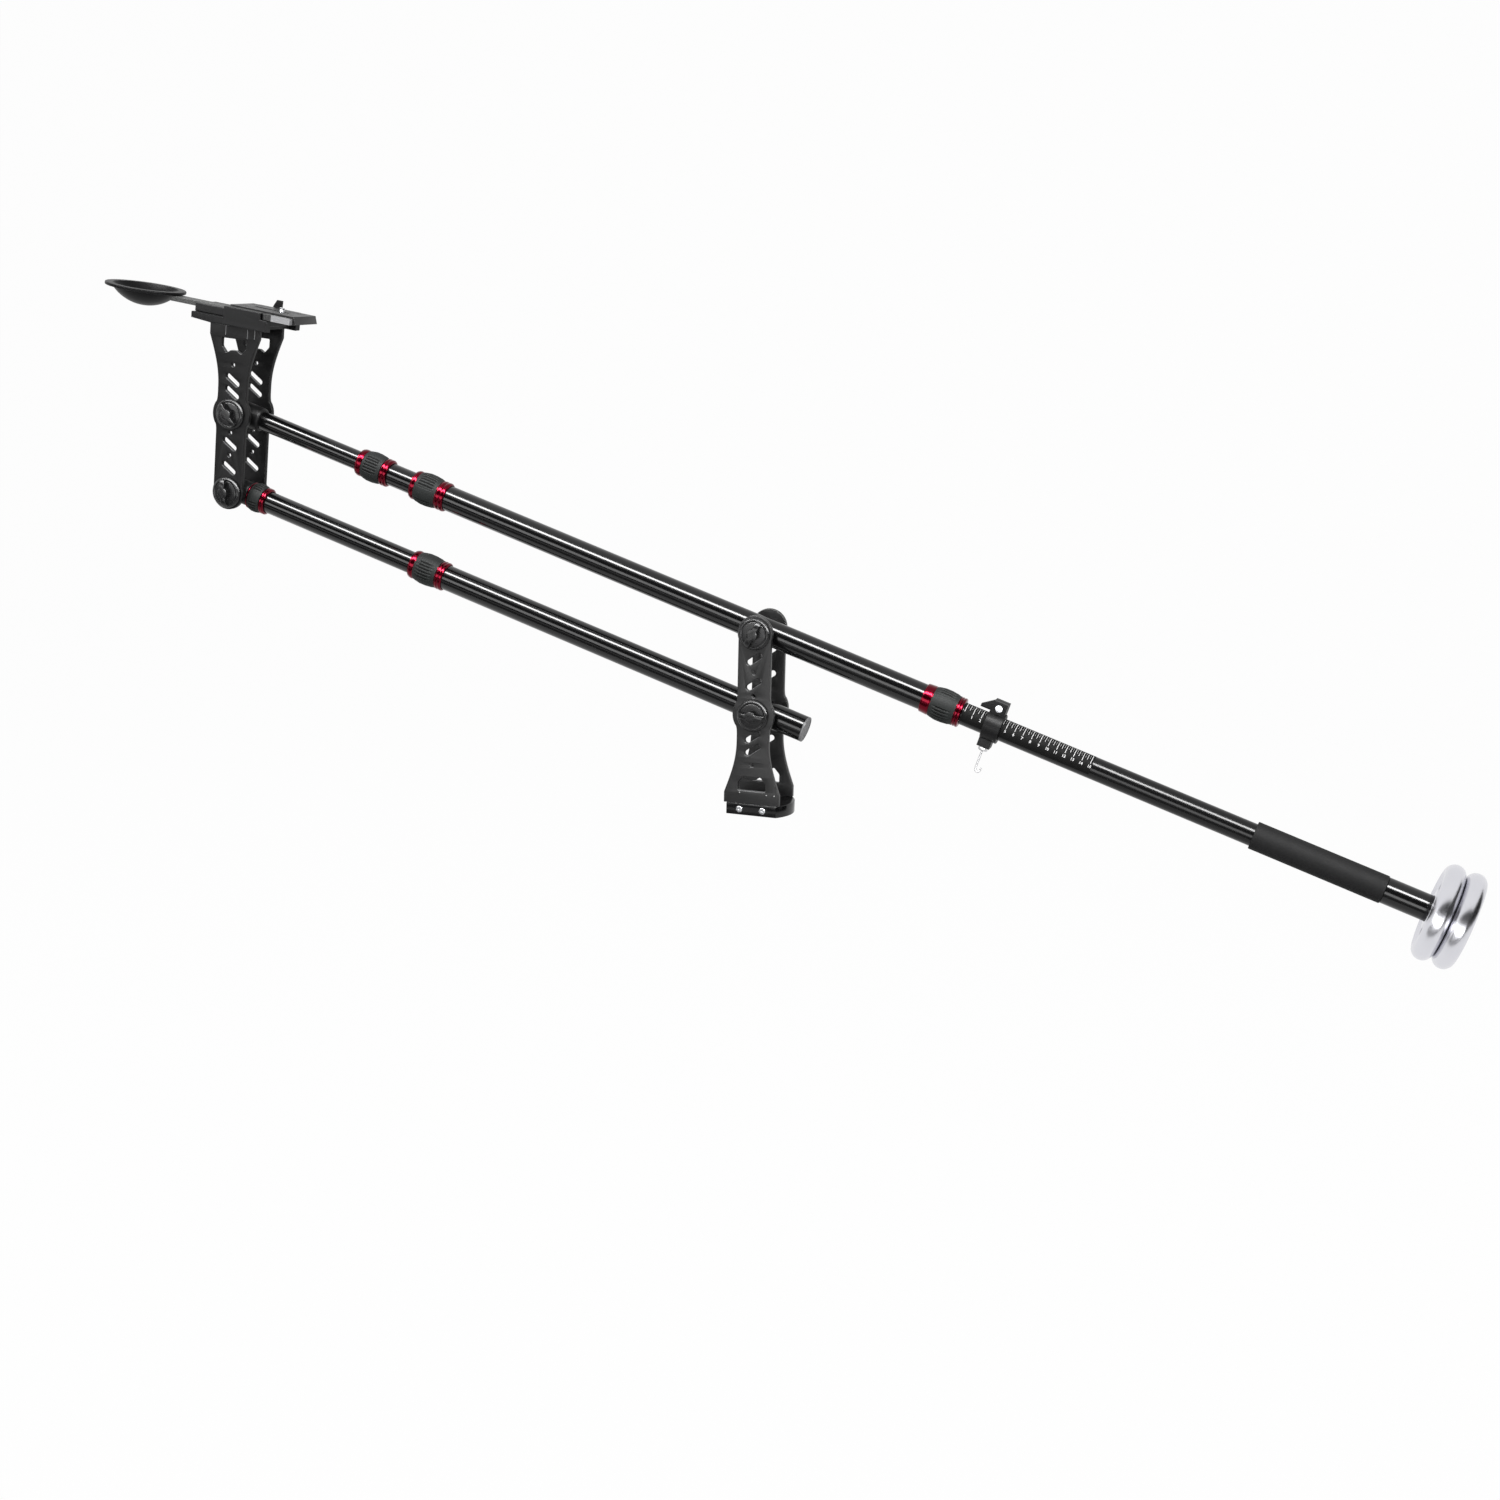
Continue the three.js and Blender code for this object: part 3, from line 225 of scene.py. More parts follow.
redLook = {
    "deep": (0.07, 0.0008, 0.006), "bright": (0.15, 0.0015, 0.011), "turned": (2600, 40, 40), "polish": 0.17,
    "spread": 0.06, "relief": 0.00001, "strength": 0.15, "coat": 0.1, "coatPolish": 0.06,
}
foamLook = {
    "sheen": 0.12, "tones": shades((0.006, 0.006, 0.0063), 1, 1.5), "cloud": (90, 4), "cells": 1500,
    "relief": 0.00022, "strength": 0.5, "polish": 0.62, "spread": 0.12,
}
silverLook = {"duller": 0.8, "spread": 0.12, "relief": 0.00001, "strength": 0.4}
chromeLook = {
    "bright": (0.74, 0.74, 0.78), "dull": (0.64, 0.64, 0.68), "cloud": (28, 4), "polish": 0.23,
    "spread": 0.06, "waves": (55, 3), "relief": 0.0002, "strength": 0.1,
}
castLook = {"bright": (0.6, 0.6, 0.63), "dull": (0.4, 0.4, 0.43), "pits": (520, 4), "polish": 0.34,
            "spread": 0.2, "relief": 0.0006, "strength": 0.6}
speckLook = {
    "sheen": 0.4, "dark": (0.012, 0.012, 0.012), "light": (0.075, 0.078, 0.075), "specks": (900, 4),
    "stops": [(0.42, 0), (0.6, 1)], "polish": 0.4, "spread": 0.25, "relief": 0.00005, "strength": 0.5,
}


def tubeFinish(name, sheen, polish):
    finish = Finish(name, Specular_IOR_Level=sheen)
    drawn = finish.noise(1.0, 3, tubeLook["drawn"])
    cloud = finish.noise(*tubeLook["cloud"])
    finish.set("Base Color", finish.mixColour(drawn, *tubeLook["tones"]))
    finish.set("Roughness", polish + drawn * tubeLook["drawnSpread"] + cloud * tubeLook["cloudSpread"])
    return finish.material


def redFinish():
    look = redLook
    finish = Finish("red_anodised", Metallic=1.0, Coat_Weight=look["coat"], Coat_Roughness=look["coatPolish"])
    turned = finish.noise(1.0, 2, look["turned"])
    finish.set("Base Color", finish.mixColour(turned, look["deep"], look["bright"]))
    finish.set("Roughness", look["polish"] + turned * look["spread"])
    finish.bump(turned, look["relief"], look["strength"])
    return finish.material


def foamFinish():
    look = foamLook
    finish = Finish("foam_black", Specular_IOR_Level=look["sheen"])
    inputs = {"Vector": finish.place(), "Scale": look["cells"]}
    cells = finish.node("ShaderNodeTexVoronoi", {}, inputs, "Distance")
    cloud = finish.noise(*look["cloud"])
    finish.set("Base Color", finish.mixColour(cloud, *look["tones"]))
    finish.set("Roughness", look["polish"] + cloud * look["spread"])
    finish.bump(cells + cloud * 0.5, look["relief"], look["strength"])
    return finish.material


def silverFinish(name, colour, polish, stretch):
    look = silverLook
    finish = Finish(name, Metallic=1.0)
    brushed = finish.noise(1.0, 3, stretch)
    finish.set("Base Color", finish.mixColour(brushed, *shades(colour, look["duller"], 1)))
    finish.set("Roughness", polish + brushed * look["spread"])
    finish.bump(brushed, look["relief"], look["strength"])
    return finish.material


def chromeFinish():
    look = chromeLook
    finish = Finish("weight_chrome", Metallic=1.0)
    cloud = finish.noise(*look["cloud"])
    finish.set("Base Color", finish.mixColour(cloud, look["dull"], look["bright"]))
    finish.set("Roughness", look["polish"] + cloud * look["spread"])
    finish.bump(finish.noise(*look["waves"]), look["relief"], look["strength"])
    return finish.material


def castFinish():
    look = castLook
    finish = Finish("weight_cast", Metallic=1.0)
    pits = finish.noise(*look["pits"])
    finish.set("Base Color", finish.mixColour(pits, look["dull"], look["bright"]))
    finish.set("Roughness", look["polish"] + pits * look["spread"])
    finish.bump(pits, look["relief"], look["strength"])
    return finish.material


def speckFinish():  # dark painted bar with a grey speckle
    look = speckLook
    finish = Finish("bar_speckled", Specular_IOR_Level=look["sheen"])
    specks = finish.node("ShaderNodeValToRGB", {"stops": look["stops"]}, [finish.noise(*look["specks"])])
    finish.set("Base Color", finish.mixColour(specks, look["dark"], look["light"]))
    finish.set("Roughness", look["polish"] + specks * look["spread"])
    finish.bump(specks, look["relief"], look["strength"])
    return finish.material


plateBlack = mottledFinish("plate_black", plateLook)
headBlack = mottledFinish("head_black", {**plateLook, "sheen": 0.13})
tubeBlack = tubeFinish("tube_black", 0.36, 0.12)
rulerBlack = tubeFinish("ruler_black", 0.26, 0.17)
redMetal = redFinish()
ribbedRubber = mottledFinish("ribbed_rubber", rubberLook)
grooveShadeBlack = mottledFinish("groove_painted_shade", grooveShadeLook)  # painted shade: the bottoms of the grooves between the ribs are painted darker than the rubber
foamBlack = foamFinish()
knobBlack = mottledFinish("knob_black", knobLook)
bowlBlack = mottledFinish("bowl_black", {**knobLook, "sheen": 0.06, "polish": 0.3})
steel = silverFinish("bolt_steel", (0.62, 0.63, 0.65), 0.2, (300, 300, 300))
silver = silverFinish("machined_silver", (0.68, 0.68, 0.69), 0.22, (30, 1400, 1400))
leverSatin = silverFinish("lever_satin", (0.19, 0.19, 0.195), 0.34, (30, 1400, 1400))
chrome = chromeFinish()
castChrome = castFinish()
speckled = speckFinish()
printWhite = mottledFinish("scale_white", printLook)
labelMatt = mottledFinish("label_matt", labelLook)  # band under the printed scale
# grey of the end plug and of the marks' floors; on the plates' upward-facing walls it is a painted highlight
plugGrey = mottledFinish("plug_grey", plugLook)
print("finishes made")


# Outlines: lists of points in millimetres
def arc(centre, radius, start, end, steps):
    points = []
    for k in range(steps + 1):
        angle = start + (end - start) * k / steps
        points.append((centre[0] + radius * math.cos(angle), centre[1] + radius * math.sin(angle)))
    return points


def circle(centre, radius, sides):
    return arc(centre, radius, 0, 2 * math.pi, sides)[:-1]


def curved(start, *controls, steps=10):  # Bezier curve through its control points, without its first point
    points = []
    hull = [Vector(point) for point in (start, *controls)]
    for k in range(1, steps + 1):
        level = list(hull)
        while len(level) > 1:
            level = [a.lerp(b, k / steps) for a, b in zip(level, level[1:])]
        points.append(tuple(level[0]))
    return points


def softened(points, radius, steps=3, closed=True):  # every corner of an outline rounded a little
    made = []
    count = len(points)
    for k, point in enumerate(points):
        here = Vector(point)
        if not closed and k in (0, count - 1):
            made.append(tuple(here))
            continue
        before = Vector(points[k - 1]) - here
        after = Vector(points[(k + 1) % count]) - here
        size = min(radius, before.length * bends["share"], after.length * bends["share"])
        start = here + before.normalized() * size
        end = here + after.normalized() * size
        made.append(tuple(start))
        made.extend(curved(start, here, end, steps=steps))
    return made


# Bodies of pieces: each is a bmesh in millimetres
def turnedAlong(outline, sides=96, ripple=None):  # outline of (radius, place), turned about x
    form = bmesh.new()
    rings = []
    for radius, along in outline:
        if radius < tiny:
            rings.append([form.verts.new((along, 0, 0))])
            continue
        verts = []
        for k in range(sides):
            angle = 2 * math.pi * k / sides
            reach = radius if ripple is None else ripple(radius, angle, along)
            verts.append(form.verts.new((along, -reach * math.cos(angle), reach * math.sin(angle))))
        rings.append(verts)
    pairs = list(zip(rings, rings[1:]))
    if outline[0][0] > tiny:
        pairs.append((rings[-1], rings[0]))
    for low, high in pairs:
        for k in range(sides):
            nextK = (k + 1) % sides
            corners = [low[k % len(low)], low[nextK % len(low)], high[nextK % len(high)], high[k % len(high)]]
            corners = list(dict.fromkeys(corners))
            if len(corners) > 2:
                form.faces.new(corners)
    bmesh.ops.recalc_face_normals(form, faces=form.faces)
    return form


def turnedUp(outline, sides=96):  # outline of (radius, height), turned about z
    form = turnedAlong(outline, sides)
    form.transform(Matrix.Rotation(-math.pi / 2, 4, "Y"))
    return form


def turnedAcross(outline, sides=64):  # outline of (radius, y), turned about y
    form = turnedAlong(outline, sides)
    form.transform(Matrix.Rotation(math.pi / 2, 4, "Z"))
    return form


def pin(radius, low, high):
    return [(0, low), (radius, low), (radius, high), (0, high)]


def softPin(radius, low, high, edge=0.4):
    return softened(pin(radius, low, high), edge, closed=False)


def ring(inner, outer, low, high, edge=0.3):
    return softened([(inner, low), (outer, low), (outer, high), (inner, high)], edge)


def block(x0, x1, y0, y1, z0, z1):
    form = bmesh.new()
    bmesh.ops.create_cube(form, size=1)
    form.transform(Matrix.Diagonal((x1 - x0, y1 - y0, z1 - z0, 1)))
    form.transform(Matrix.Translation(((x0 + x1) / 2, (y0 + y1) / 2, (z0 + z1) / 2)))
    return form


def lofted(rings):  # skin over closed rings of points, capped at both ends
    form = bmesh.new()
    rows = [[form.verts.new(point) for point in points] for points in rings]
    for low, high in zip(rows, rows[1:]):
        for k in range(len(low)):
            nextK = (k + 1) % len(low)
            form.faces.new([low[k], low[nextK], high[nextK], high[k]])
    form.faces.new(rows[0])
    form.faces.new(rows[-1])
    bmesh.ops.recalc_face_normals(form, faces=form.faces)
    return form


def fromCurve(curve, tolerance):  # the solid body of a curve or of a text
    holder = bpy.data.objects.new(curve.name, curve)
    bpy.context.scene.collection.objects.link(holder)
    bpy.context.view_layer.update()
    mesh = bpy.data.meshes.new_from_object(holder.evaluated_get(bpy.context.evaluated_depsgraph_get()))
    bpy.data.objects.remove(holder)
    bpy.data.curves.remove(curve)
    form = bmesh.new()
    form.from_mesh(mesh)
    bpy.data.meshes.remove(mesh)
    bmesh.ops.remove_doubles(form, verts=form.verts, dist=tolerance)
    return form


def slab(outline, holes, low, high, edge=0.5):  # flat outline in x and y with rounded edges, thick along z
    curve = bpy.data.curves.new("outline", "CURVE")
    curve.dimensions = "2D"
    curve.fill_mode = "BOTH"
    for points in (outline, *holes):
        line = curve.splines.new("POLY")
        line.points.add(len(points) - 1)
        for target, point in zip(line.points, points):
            target.co = (point[0], point[1], 0, 1)
        line.use_cyclic_u = True
    curve.extrude = (high - low) / 2 - edge
    curve.bevel_depth = edge
    curve.bevel_resolution = bends["segments"]
    curve.offset = -edge
    form = fromCurve(curve, mergeDistance * 4)
    bmesh.ops.recalc_face_normals(form, faces=form.faces)
    return moved(form, z=(low + high) / 2)


def standing(form):  # from x and y to x and z, its thickness along -y
    form.transform(Matrix.Rotation(math.pi / 2, 4, "X"))
    return form


def moved(form, x=0, y=0, z=0):
    form.transform(Matrix.Translation((x, y, z)))
    return form


def spun(form, angle, axis):
    form.transform(Matrix.Rotation(angle, 4, axis))
    return form


def toMesh(form):
    mesh = bpy.data.meshes.new("form")
    form.to_mesh(mesh)
    form.free()
    return mesh


def worked(form, added=(), kept=(), cut=(), tolerance=mergeDistance):  # joins, keeps what is shared, cuts
    body = bpy.data.objects.new("work", toMesh(form))
    bpy.context.scene.collection.objects.link(body)
    tools = []
    for operation, forms in (("UNION", added), ("INTERSECT", kept), ("DIFFERENCE", cut)):
        for tool in forms:
            holder = bpy.data.objects.new("tool", toMesh(tool))
            bpy.context.scene.collection.objects.link(holder)
            holder.hide_render = True
            tools.append(holder)
            change = body.modifiers.new(operation, "BOOLEAN")
            change.operation = operation
            change.object = holder
            change.solver = "EXACT"
    bpy.context.view_layer.update()
    result = bmesh.new()
    mesh = bpy.data.meshes.new_from_object(body.evaluated_get(bpy.context.evaluated_depsgraph_get()))
    result.from_mesh(mesh)
    bpy.data.meshes.remove(mesh)
    for holder in (body, *tools):
        mesh = holder.data
        bpy.data.objects.remove(holder)
        bpy.data.meshes.remove(mesh)
    bmesh.ops.remove_doubles(result, verts=result.verts, dist=tolerance)
    return result


def joined(forms):
    form = bmesh.new()
    for part in forms:
        mesh = toMesh(part)
        form.from_mesh(mesh)
        bpy.data.meshes.remove(mesh)
    return form


def split(form, place, normal):  # adds edges where a plane crosses the body
    geometry = form.verts[:] + form.edges[:] + form.faces[:]
    bmesh.ops.bisect_plane(form, geom=geometry, plane_co=place, plane_no=normal)
    return form


notChromed = bpy.data.collections.new("not_chromed")  # lit by the strip that the weights don't mirror


def piece(name, form, body, finish, space=baseSpace, nodes=(), edge=None, sharp=32, at=(0, 0, 0)):
    for face in form.faces:
        face.smooth = True
    mesh = toMesh(form)
    mesh.transform(Matrix.Scale(mm, 4))
    mesh.name = name
    made = bpy.data.objects.new(name, mesh)
    bpy.context.scene.collection.objects.link(made)
    made.matrix_world = space @ Matrix.Translation(Vector(at) * mm)
    mesh.materials.append(finish)
    if finish is not chrome:
        notChromed.objects.link(made)
    if edge:
        bevel = made.modifiers.new("edges", "BEVEL")
        bevel.width = edge * mm
        bevel.segments = bends["segments"]
        bevel.limit_method = "ANGLE"
        bevel.angle_limit = bends["limit"]
        bevel.harden_normals = False
    mesh.set_sharp_from_angle(angle=sharp * degree)
    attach(made, body)
    if nodes:
        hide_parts(*nodes)
    return made


def partly(made, finish, chosen):  # a second finish for the faces that chosen(centre in mm, normal) picks
    if len(made.data.materials) < 2:
        made.data.materials.append(finish)
    for face in made.data.polygons:
        if chosen(face.center / mm, face.normal):
            face.material_index = 1


# Base: block, bush, nut
base = {
    "proud": 0.5, "height": 13.5, "radius": 41.8, "halfWidth": 29.3, "innerHalf": 23.3, "plate": 6,
    "tongue": 2.7, "tongueHalf": 25, "tongueLength": 10, "boltDrop": 6.5, "boltHalfSpan": 13.8, "edge": 0.6,
}
seamZ = base["proud"] + base["height"]


def boltHole(radius, reach, x, z):
    return moved(turnedAcross(pin(radius, -reach, reach), sides=32), x=x, z=z)


def buildBaseBlock():
    flat = math.asin(base["halfWidth"] / base["radius"])
    left = -base["radius"] * math.cos(flat)
    outline = arc((0, 0), base["radius"], -flat, flat, steps=32)
    outline += [(left, base["halfWidth"]), (left, -base["halfWidth"])]
    body = slab(outline, [], base["proud"], seamZ, base["edge"])
    outer = base["innerHalf"] + base["tongue"] + gap
    inner = base["innerHalf"] - gap
    half = base["tongueHalf"] + gap
    low = seamZ - base["tongueLength"] - gap
    cuts = [
        block(-half, half, inner, outer, low, seamZ + over),
        block(-half, half, -outer, -inner, low, seamZ + over),
        turnedUp(pin(pan["flange"] + gap, -over, pan["flangeHeight"] + gap)),
        turnedUp(pin(pan["stem"] + gap, -over, seamZ + over)),
    ]
    for x in (-base["boltHalfSpan"], base["boltHalfSpan"]):
        cuts.append(boltHole(crossBolt["radius"] + gap, base["radius"], x, seamZ - base["boltDrop"]))
    form = worked(body, cut=cuts)
    piece("base_block_body", form, "base", tubeBlack, nodes=["base_block"])


pan = {"flange": 17, "flangeHeight": 3, "stem": 9, "thread": 4.7, "depth": 12, "pitch": 1.5,
       "threadDepth": 0.5, "lead": 0.6, "edge": 0.4, "nut": 14, "nutHeight": 4, "nutEdge": 0.25}
crossBolt = {"radius": 1.75, "head": 3.7, "headHeight": 1.6, "socket": 1.6, "socketDepth": 1.0, "nut": 3.6,
             "nutHeight": 2.6, "tail": 0.8, "tip": 0.5, "edge": 0.2, "headEdge": 0.35, "pinEdge": 0.3}
hexShape = {"coneShare": 0.12, "slopeShare": 0.6, "beyond": 0.2, "edge": 0.05, "socketEdge": 0.02}


def buildPan():
    p = pan
    low = seamZ + gap
    top = low + p["nutHeight"]
    mouth = p["thread"] + p["lead"]
    outline = [(0, p["depth"])]
    for k in range(int(p["depth"] / p["pitch"])):  # thread grooves, from the bottom of the hole to its mouth
        high = p["depth"] - p["pitch"] * k
        outline.append((p["thread"], high))
        outline.append((p["thread"] - p["threadDepth"], high - p["pitch"] / 2))
    outline += [(p["thread"], 0), (mouth, 0)]
    outline += softened([
        (mouth, 0), (p["flange"], 0), (p["flange"], p["flangeHeight"]), (p["stem"], p["flangeHeight"]),
        (p["stem"], top), (0, top)], p["edge"], closed=False)[1:]
    piece("pan_bush_turned", turnedUp(outline), "tripod", steel, nodes=["pan_bush"])
    bore = turnedUp(pin(p["stem"] + gap, low - over, top + over))
    nut = worked(hexBody(p["nut"], low, top), cut=[bore])
    piece("pan_nut_hex", nut, "tripod", silver, nodes=["pan_nut"], edge=p["nutEdge"])


def hexBody(radius, low, high):  # six flats, its corners cut by a shallow cone
    flat = radius * (1 - hexShape["coneShare"])
    rise = radius * hexShape["coneShare"] * hexShape["slopeShare"]
    wide = radius + hexShape["beyond"]
    outline = [(0, low), (flat, low), (wide, low + rise), (wide, high - rise), (flat, high), (0, high)]
    flats = slab(circle((0, 0), radius, sides=6), [], low, high, hexShape["edge"])
    return worked(flats, kept=[turnedUp(outline, sides=48)], tolerance=0)


buildBaseBlock()
buildPan()
print("base block, bush and nut made")


# Side plates: outline from the round end (z 0) past the bulge to the flare
plate = {
    "end": 20.6, "neck": 19.4, "bulge": 24.8, "foot": 24, "knee": 60 * degree, "waist": 19.2,
    "waistReach": 32, "flare": 33.2, "straight": 12.3, "reach": 104.5, "pivotHole": 4.3, "edge": 0.7,
    "flareShares": ((0, 0.374), (0.486, 0.668)), "tongueOverlap": 2, "markHalf": 0.8, "markDepth": 0.6,
    "markNear": 0.06, "flatShare": 0.9,
    "windowNear": 15.2, "windowDepth": 17.5, "windowHalf": 16.6, "windowDrop": 10, "windowPeak": 10,
    "windowSoft": 1.6, "notchHalf": 4, "notchDepth": 4, "slotRun": 7.5, "slotRadius": 3.3,
    "slotLean": -35 * degree, "smallHole": 2.4, "slots": (29.5, 58.5), "outerSlots": (25.5, 40.5),
    "holes": (45, 72), "outerHole": 58.5, "litSlope": 0.45, "litPivotRoom": 6, "litFlareRoom": 2,
}
faceHalf = base["innerHalf"] + base["plate"]


def plateOutline():
    p = plate
    seam = pivotSpacing + p["reach"]
    roundEnd = math.acos(p["neck"] / p["end"])
    kneeHalf = p["bulge"] * math.sin(p["knee"])
    kneeRun = p["bulge"] * math.cos(p["knee"])
    knee = kneeRun + (kneeHalf - p["neck"]) / math.tan(p["knee"])
    flareStart = seam - p["straight"]
    waistEnd = pivotSpacing + p["waistReach"]
    right = arc((0, 0), p["end"], -math.pi / 2, roundEnd, steps=24)
    foot = (p["neck"], pivotSpacing - p["foot"])
    right.append(foot)
    right += curved(foot, (p["neck"], pivotSpacing - knee), (kneeHalf, pivotSpacing - kneeRun), steps=8)
    bulge = math.pi / 2 - p["knee"]
    right += arc((0, pivotSpacing), p["bulge"], -bulge, bulge, steps=12)[1:]
    waist = (p["waist"], pivotSpacing + p["foot"])
    right += curved(right[-1], (p["waist"], pivotSpacing + knee), waist, steps=8)
    right.append((p["waist"], waistEnd))
    rise = flareStart - waistEnd
    widening = p["flare"] - p["waist"]
    pulls = [(p["waist"] + widening * x, waistEnd + rise * y) for x, y in p["flareShares"]]
    right += curved(right[-1], *pulls, (p["flare"], flareStart), steps=14)
    right.append((p["flare"], seam))
    return right + [(-x, y) for x, y in reversed(right[1:])]


def plateHoles():
    p = plate
    near = pivotSpacing + p["reach"] - p["windowNear"]
    far = near - p["windowDepth"]
    side = near - p["windowDrop"]
    window = [
        (-p["windowHalf"], near), (p["windowHalf"], near), (p["windowHalf"], side), (p["windowPeak"], far),
        (p["notchHalf"], far + p["notchDepth"]), (-p["notchHalf"], far + p["notchDepth"]),
        (-p["windowPeak"], far), (-p["windowHalf"], side),
    ]
    holes = [softened(window, p["windowSoft"], steps=4)]
    lean = p["slotLean"]
    run = Vector((math.cos(lean), math.sin(lean))) * p["slotRun"]
    low, high = lean - math.pi / 2, lean + math.pi / 2
    for centre in (*p["slots"], *(pivotSpacing + y for y in p["outerSlots"])):
        slot = arc((run.x, centre + run.y), p["slotRadius"], low, high, steps=10)
        slot += arc((-run.x, centre - run.y), p["slotRadius"], high, high + math.pi, steps=10)
        holes.append(slot)
    for centre in (*p["holes"], pivotSpacing + p["outerHole"]):
        holes.append(circle((0, centre), p["smallHole"], sides=24))
    for centre in (0, pivotSpacing):
        holes.append(circle((0, centre), p["pivotHole"], sides=32))
    return holes


def sidePlate(front, tongueLength, boltDrop, marks=()):  # its upper pivot at z 0, the flare upwards
    seam = pivotSpacing + plate["reach"]
    low = base["innerHalf"] if front else -faceHalf
    body = standing(slab(plateOutline(), plateHoles(), low, low + base["plate"], plate["edge"]))
    tongueOuter = base["innerHalf"] + base["tongue"]
    tongueY = -tongueOuter if front else base["innerHalf"]
    half = base["tongueHalf"]
    tongue = block(-half, half, tongueY, tongueY + base["tongue"], seam - plate["tongueOverlap"],
                   seam + tongueLength - gap)
    cuts = [boltHole(crossBolt["radius"] + gap, faceHalf + over, x, seam + boltDrop)
            for x in (-base["boltHalfSpan"], base["boltHalfSpan"])]
    for x, bottom, top in marks:
        cuts.append(block(x - plate["markHalf"], x + plate["markHalf"], -faceHalf - over,
                          plate["markDepth"] - faceHalf, pivotSpacing + bottom, pivotSpacing + top))
    return moved(worked(body, added=[tongue], cut=cuts), z=-pivotSpacing)


headJoint = {"tongueLength": 4.5, "boltDrop": 3,
             "marks": ((-12, 93, 104), (17.3, 91, 102), (26.9, 91.5, 102.3))}  # x, bottom and top
dots = {"radius": 0.55, "proud": 0.05, "seat": 0.2, "places": ((-14.1, 27), (18.1, 26.4), (27.5, 26.4))}
basePlateSpace = Matrix.Translation((0, 0, lowerPivotZ * mm)) @ Matrix.Rotation(math.pi, 4, "X")


def paintLitWalls(made):  # painted highlight: the upward-facing lower walls of slots and window get a lighter grey
    turn = made.matrix_world.to_3x3()
    side = plate["windowHalf"] + over
    low = plate["litPivotRoom"] - pivotSpacing
    high = plate["reach"] - plate["litFlareRoom"]

    def chosen(centre, normal):
        inside = abs(centre.x) < side and low < centre.z < high
        return inside and (turn @ normal).z > plate["litSlope"]

    # the upward-facing walls get the lighter grey as a painted highlight
    partly(made, plugGrey, chosen)


def lightMarks(made):  # the floors of the marks
    def chosen(centre, normal):
        off = centre.y + faceHalf - plate["markDepth"]
        return abs(off) < plate["markNear"] and abs(normal.y) > plate["flatShare"]

    partly(made, plugGrey, chosen)


def buildPlates():
    for name, front in (("base_plate_back", True), ("base_plate_front", False)):
        form = sidePlate(front, base["tongueLength"], base["boltDrop"])
        paintLitWalls(piece(name + "_cut", form, "base", plateBlack, basePlateSpace, [name]))
    for name, front in (("head_plate_front", True), ("head_plate_back", False)):
        marks = headJoint["marks"] if front else ()
        form = sidePlate(front, headJoint["tongueLength"], headJoint["boltDrop"], marks)
        made = piece(name + "_cut", form, "head", headBlack, headSpace, [name])
        paintLitWalls(made)
        if front:
            lightMarks(made)


def buildDots():  # printed dots at the foot of the front base plate
    outline = pin(dots["radius"], -faceHalf - dots["proud"], -faceHalf + dots["seat"])
    form = joined([moved(turnedAcross(outline, sides=24), x=x, z=z) for x, z in dots["places"]])
    piece("base_plate_dots", form, "base", printWhite)


buildPlates()
buildDots()
print("side plates made")


# Pivots: bolt, sleeve and wing knob
pivot = {"bolt": 4, "nut": 6.5, "nutHeight": 5, "tail": 1.2, "edge": 0.5, "sleeve": 7, "sleeveEdge": 0.5,
         "hole": 4.3, "boreDepth": 9}
knob = {
    "radius": 18.6, "disc": 5, "rim": 2.2, "soft": 0.7, "groove": ((5.4, 0), (4.6, 0.7), (3.6, 0)),
    "hub": 6.4, "hubSoft": 1.2, "height": 13, "wing": 32, "wingThickness": 6.4, "wingDrop": 4,
    "wingSoft": 1.3, "wingBends": (0.8, 0.4), "edge": 0.3,
}
plateFace = faceHalf + gap
pivots = [
    {"name": "base_upper", "body": "base", "space": baseSpace, "z": upperPivotZ, "turn": -62 * degree},
    {"name": "base_lower", "body": "base", "space": baseSpace, "z": lowerPivotZ, "turn": 4 * degree},
    {"name": "head_upper", "body": "head", "space": headSpace, "z": 0, "turn": 52 * degree},
    {"name": "head_lower", "body": "head", "space": headSpace, "z": -pivotSpacing, "turn": 82 * degree},
]


def buildCrossBolt():
    b = crossBolt
    face = plateFace + b["headHeight"]
    shank = softPin(b["radius"], -plateFace - b["tip"], plateFace + b["nutHeight"] + b["tail"], b["edge"])
    cap = turnedAcross(softPin(b["head"], -face, -plateFace, b["headEdge"]), sides=48)
    nut = spun(hexBody(b["nut"], plateFace, plateFace + b["nutHeight"]), -math.pi / 2, "X")
    socket = hexSocket(b["socket"], b["socketDepth"] + over, -face - over)
    return worked(turnedAcross(shank, sides=32), added=[cap, nut], cut=[socket])


def hexSocket(radius, depth, y):  # the key's hole of a screw head that faces the camera
    hole = slab(circle((0, 0), radius, sides=6), [], 0, depth, hexShape["socketEdge"])
    return moved(spun(hole, -math.pi / 2, "X"), y=y)


